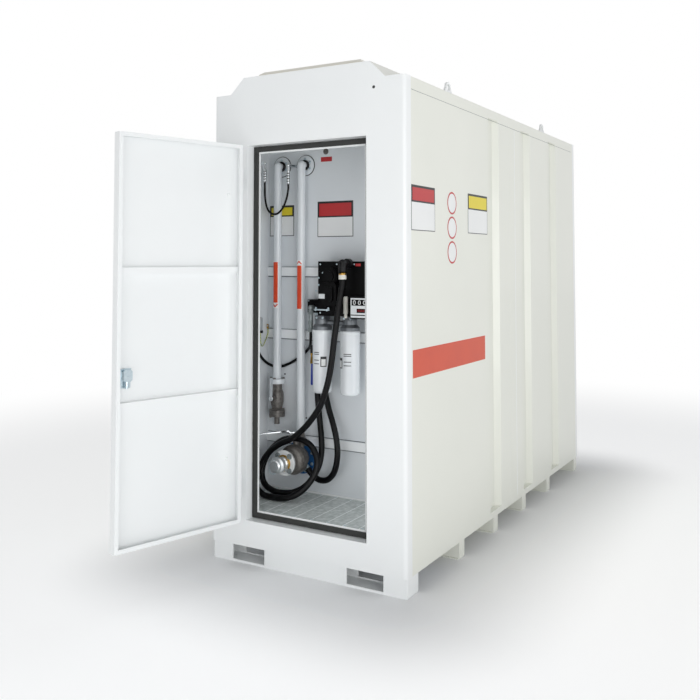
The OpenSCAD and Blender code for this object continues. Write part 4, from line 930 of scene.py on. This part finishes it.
repeat("cabinet_screws", dome_head, grid(
    (453, 560, 670, 775, 881), CABINET_FRONT, (1301, 1570),
), zinc_plate, 5.5, 2.8, fitted=on_wall)
repeat("pump_screws", hex_head, [
    *ring_of(499, -144, 1475, 51, 8, 0.39), *grid((459, 539), -182, (1330, 1425)),
], zinc_plate, 4.5, 4, fitted=on_wall)
repeat("meter_screws", dome_head, grid(
    (METER[0] + 12, METER[0] + 138), METER_FRONT - METER_PLATE, (METER[1] + 12.5, METER[1] + 66),
), zinc_plate, 3, 1.6, fitted=on_wall)
repeat("wall_flange_bolts", hex_head, [
    *ring_of(SUPPLY_X, -10, PIPE_TOP, 38, 6, 0.52), *ring_of(FILL_X, -10, PIPE_TOP, 38, 6, 0.52),
], zinc_plate, 6, 5, fitted=on_wall)
# The rear wall is bolted on along both its edges
repeat("rear_wall_bolts", hex_head, [
    ((side * 568, BODY_LENGTH, 290 + 128 * i), (0, 1, 0)) for side in (-1, 1) for i in range(16)
], aged_zinc, 9, 9)
repeat("blue_flange_bolts", hex_head, ring_of(FILL_X, -45, COUPLING_Z, 80, 8, 0.39), zinc_plate, 7.5, 7, fitted=on_wall)
coupling_bolts = ring_of(FILL_X, -217.5, COUPLING_Z, 55, 4, math.pi / 4)
repeat("coupling_face_bolts", hex_head, coupling_bolts, aged_zinc, 12.5, 11, fitted=on_wall)
repeat("coupling_face_washers", dome_head, coupling_bolts, polished_steel, 14.5, 2.2, fitted=on_wall)
repeat("valve_collar_bolts", hex_head, [
    ((SUPPLY_X + 37 * math.cos(a), PIPE_OUT + 37 * math.sin(a), 905.8), UP) for a in (0.5, 1.8, 3.4, 4.9)
], cast_iron, 7, 7, fitted=on_wall)
repeat("filter_head_bolts", hex_head, grid(
    [x + aside for x in FILTERS_X for aside in (-20, 20)], -130, (1273,),
), zinc_plate, 5, 4, fitted=on_wall)
repeat("junction_box_screws", dome_head, grid((338, 424), -70, (1304, 1362)), zinc_plate, 4, 2, fitted=on_wall)
repeat("deck_screws", dome_head, [
    ((x, y, 268), UP) for x in range(-500, 501, 100) for y in (82, 484)
], zinc_plate, 6, 2)
repeat("hinge_leaf_screws", dome_head, [
    ((-423, -4, z + dz), OUT) for z in (410, 1217.5, 2025) for dz in (-45, 0, 45)
], front_enamel, 5.5, 2.5)
repeat("hinge_strap_screws", dome_head, [
    ((x, -5, z), OUT) for z in (174, 981.5, 1789) for x in (14, 31)
], front_enamel, 5, 2.5, "door", on_door)
repeat("door_studs", dome_head, grid((62,), 4, (1700, 330), (0, 1, 0)), front_enamel, 9, 6, "door", on_door)
repeat("lock_screws", dome_head, grid((630, 666), 9, (758, 840), (0, 1, 0)), zinc_plate, 3, 1.5, "door", on_door)
repeat("header_rivet", dome_head, [((412, 0, 2442), OUT)], seal_rubber, 8, 2)
repeat("lid_screws", dome_head, [
    ((side * 320, y, 2583), (side, 0, 0)) for side in (-1, 1) for y in range(95, 640, 85)
], cream_enamel, 6, 3)


def along(start, end, pitch, facing):
    """Places from start to end at a pitch, all facing one way."""
    a, b = Vector(start), Vector(end)
    count = round((b - a).length / pitch)
    return [(tuple(a + (b - a) * k / count), facing) for k in range(count + 1)]


LUG_HALF = 54  # half a lifting lug's length along the roof
LUG_SKIN = 6  # half its thickness

lug_feet = []
for x in (-561, 561):
    for y in (556, 2183):
        for face in (-1, 1):
            foot = x + face * LUG_SKIN
            lug_feet += along((foot, y - LUG_HALF, ROOF_Z), (foot, y + LUG_HALF, ROOF_Z), 4.5, (face, 0, 1))
repeat("lug_welds", weld_bead, lug_feet, front_enamel, 4.2)
bearer_runs = []
for y in BEARERS:
    for side in (-1, 1):
        edge = y + side * BEARER_HALF
        for start, end in ((-570, -250), (250, 570)):
            bearer_runs += along((start, edge, BEARER_TOP), (end, edge, BEARER_TOP), 9, (0, side, -1))
repeat("bearer_welds", weld_bead, bearer_runs, front_enamel, 6)

for name, side in (("right", 1), ("left", -1)):
    seam = box((side * HALF_WIDTH - 0.4, 1446, 132), (side * HALF_WIDTH + 0.7, 1452, 2434))
    make(f"{name}_side_seam", [seam], side_enamel, edge=0.3)


def resampled(line, pitch):
    """Points on a line at an even pitch."""
    points, left = [line[0]], pitch
    for a, b in zip(line, line[1:]):
        step = (b - a).length
        while step > 0 and left <= step:
            a = a + (b - a) * left / step
            points.append(a)
            step = (b - a).length
            left = pitch
        left -= step
    return points


LINK_LENGTH, LINK_WIDTH, LINK_WIRE = 1.45, 0.85, 0.14  # shares of a link's pitch


def chain(name, path, pitch, finish):
    """A light chain: oval links along a path, each a quarter turn from the last."""
    links = resampled([Vector(on_wall(p)) for p in smooth_route(path, 8)], pitch)
    mesh = bpy.data.meshes.new(name)
    mesh.from_pydata([place(p) for p in links], [(i, i + 1) for i in range(len(links) - 1)], [])
    sizes = {
        "Link length": pitch * LINK_LENGTH / 1000,
        "Link width": pitch * LINK_WIDTH / 1000,
        "Wire radius": pitch * LINK_WIRE / 1000,
    }
    tree, given = tree_for(name, sizes)
    line = add(tree, "GeometryNodeMeshToCurve", {"Mesh": given["Geometry"]})
    spots = add(tree, "GeometryNodeCurveToPoints", {"Curve": line.outputs[0]}, mode="EVALUATED")
    ring = add(tree, "GeometryNodeCurvePrimitiveCircle", {"Resolution": 14, "Radius": 0.5})
    size = add(tree, "ShaderNodeCombineXYZ", {"X": given["Link width"], "Y": given["Link length"], "Z": 1.0})
    oval = add(tree, "GeometryNodeTransform", {"Geometry": ring.outputs[0], "Scale": size.outputs[0]})
    stand = add(tree, "GeometryNodeTransform", {"Geometry": oval.outputs[0], "Rotation": (math.radians(90), 0, 0)})
    wire = add(tree, "GeometryNodeCurvePrimitiveCircle", {"Resolution": 6, "Radius": given["Wire radius"]})
    link = add(tree, "GeometryNodeCurveToMesh", {"Curve": stand.outputs[0], "Profile Curve": wire.outputs[0]})
    number = add(tree, "GeometryNodeInputIndex")
    quarter = add(tree, "ShaderNodeMath", {0: number.outputs[0], 1: math.radians(90)}, operation="MULTIPLY")
    turn = add(tree, "FunctionNodeAxisAngleToRotation", {"Axis": UP, "Angle": quarter.outputs[0]})
    lay_out(tree, spots.outputs["Points"], link.outputs[0], spots.outputs["Tangent"], turn, finish)
    plain(linked(name, mesh), tree, sizes, SLOTS[finish], "tank")


chain("coupling_chain", [
    (219, -270, 484), (212, -272, 456), (213, -268, 430), (222, -252, 414), (233, -232, 418), (240, -216, 430),
], 8, zinc_plate)


# Floor, light and background

WHITE = (1, 1, 1, 1)
FLOOR_MIDDLE = (0, 1400)
FLOOR_REACH = 40  # metres
SHADOW_KEPT = 3.2  # metres from the middle within which the floor shows its shadow in full
SHADOW_GONE = 6.5
# Painted light: round the tank the floor glows and lights the tank's lower faces; under the tank it doesn't glow, a
# painted shadow
FLOOR_GLOW = 0.4  # round the tank the floor is lit from below too, as a light table is
GLOW_STARTS = (0.55, 1.45, 0)  # half the width and length of the dark place under the tank, in metres
GLOW_RISE = 0.9


def floor_finish():
    """Pale studio floor that keeps the tank's shadow and fades into the white background further out. Round the tank it
    glows, a painted light; under the tank it doesn't, a painted shadow.
    """
    material = bpy.data.materials.new("studio floor, pale matt paint")
    tree = empty_tree(material)
    where = add(tree, "ShaderNodeTexCoord").outputs["Object"]
    middle = place((*FLOOR_MIDDLE, 0))
    offset = add(tree, "ShaderNodeVectorMath", {0: where, 1: middle}, operation="SUBTRACT").outputs[0]
    distance = add(tree, "ShaderNodeVectorMath", {0: offset}, operation="LENGTH")
    far = add(tree, "ShaderNodeMapRange", {
        "Value": distance.outputs["Value"], "From Min": SHADOW_KEPT, "From Max": SHADOW_GONE,
    }, interpolation_type="SMOOTHSTEP")
    seen = add(tree, "ShaderNodeLightPath").outputs["Is Camera Ray"]
    fade = add(tree, "ShaderNodeMath", {0: far.outputs[0], 1: seen}, operation="MULTIPLY")
    paint = add(tree, "ShaderNodeBsdfDiffuse", {"Color": colour("F4F5F6")})
    apart = add(tree, "ShaderNodeVectorMath", {0: offset}, operation="ABSOLUTE")
    beyond = add(tree, "ShaderNodeVectorMath", {0: apart.outputs[0], 1: GLOW_STARTS}, operation="SUBTRACT")
    outside = add(tree, "ShaderNodeVectorMath", {0: beyond.outputs[0], 1: (0, 0, 0)}, operation="MAXIMUM")
    gap = add(tree, "ShaderNodeVectorMath", {0: outside.outputs[0]}, operation="LENGTH")
    power = add(tree, "ShaderNodeMapRange", {
        "Value": gap.outputs["Value"], "From Max": GLOW_RISE, "To Max": FLOOR_GLOW,
    }, interpolation_type="SMOOTHSTEP")
    glow = add(tree, "ShaderNodeEmission", {"Color": WHITE, "Strength": power.outputs[0]})
    lit = add(tree, "ShaderNodeAddShader", {0: paint.outputs[0], 1: glow.outputs[0]})
    white = add(tree, "ShaderNodeEmission", {"Color": WHITE})
    blend = add(tree, "ShaderNodeMixShader", {0: fade.outputs[0], 1: lit.outputs[0], 2: white.outputs[0]})
    add(tree, "ShaderNodeOutputMaterial", {"Surface": blend.outputs[0]})
    return material


def add_floor():
    """The studio floor, which isn't a piece of the tank."""
    mesh = bpy.data.meshes.new("floor")
    corners = [(FLOOR_REACH * x, FLOOR_REACH * y, 0) for x, y in ((-1, -1), (1, -1), (1, 1), (-1, 1))]
    mesh.from_pydata(corners, [], [(0, 1, 2, 3)])
    mesh.materials.append(floor_finish())
    linked("floor", mesh)


HORIZON_LIGHT = 0.64
ZENITH_LIGHT = 0.37
SKY_TINT = (0.99, 0.995, 1, 1)


def add_world():
    """Even pale light from all round, and white where the camera, gloss or glass sees the background."""
    world = bpy.data.worlds.new("studio")
    bpy.context.scene.world = world
    tree = empty_tree(world)
    path = add(tree, "ShaderNodeLightPath").outputs
    shiny = add(tree, "ShaderNodeMath", {0: path["Is Camera Ray"], 1: path["Is Glossy Ray"]}, operation="MAXIMUM")
    clear = add(tree, "ShaderNodeMath", {0: shiny.outputs[0], 1: path["Is Transmission Ray"]}, operation="MAXIMUM")
    where = add(tree, "ShaderNodeTexCoord").outputs["Generated"]
    height = add(tree, "ShaderNodeSeparateXYZ", {"Vector": where}).outputs["Z"]
    power = add(tree, "ShaderNodeMapRange", {"Value": height, "To Min": HORIZON_LIGHT, "To Max": ZENITH_LIGHT})
    light = add(tree, "ShaderNodeBackground", {"Color": SKY_TINT, "Strength": power.outputs[0]})
    white = add(tree, "ShaderNodeBackground", {"Color": WHITE, "Strength": 1.0})
    blend = add(tree, "ShaderNodeMixShader", {0: clear.outputs[0], 1: light.outputs[0], 2: white.outputs[0]})
    add(tree, "ShaderNodeOutputWorld", {"Surface": blend.outputs[0]})


def add_lamp(name, point, target, size, power, tall=None):
    """A soft box at a point that looks at a target; places and sizes in metres."""
    lamp = bpy.data.lights.new(name, "AREA")
    lamp.shape = "RECTANGLE"
    lamp.size = size
    lamp.size_y = tall or size
    lamp.energy = power
    holder = linked(name, lamp)
    holder.location = point
    holder.rotation_euler = (Vector(target) - Vector(point)).to_track_quat("-Z", "Y").to_euler()


add_floor()
add_world()
add_lamp("low front light", (0.1, -3.0, 0.4), (0, 0.2, 0.6), 1.8, 10)
add_lamp("main soft box", (5.6, -4.2, 0.6), (0.4, 0.9, 0.8), 4.0, 225)
# A strip light inside, behind the right post, as a photographer sets one to open up a dark compartment
add_lamp("strip light in the compartment", (0.53, 0.19, 1.15), (-0.5, 0.22, 1.15), 0.26, 2.2, tall=1.7)
bpy.context.scene.view_settings.view_transform = "Standard"
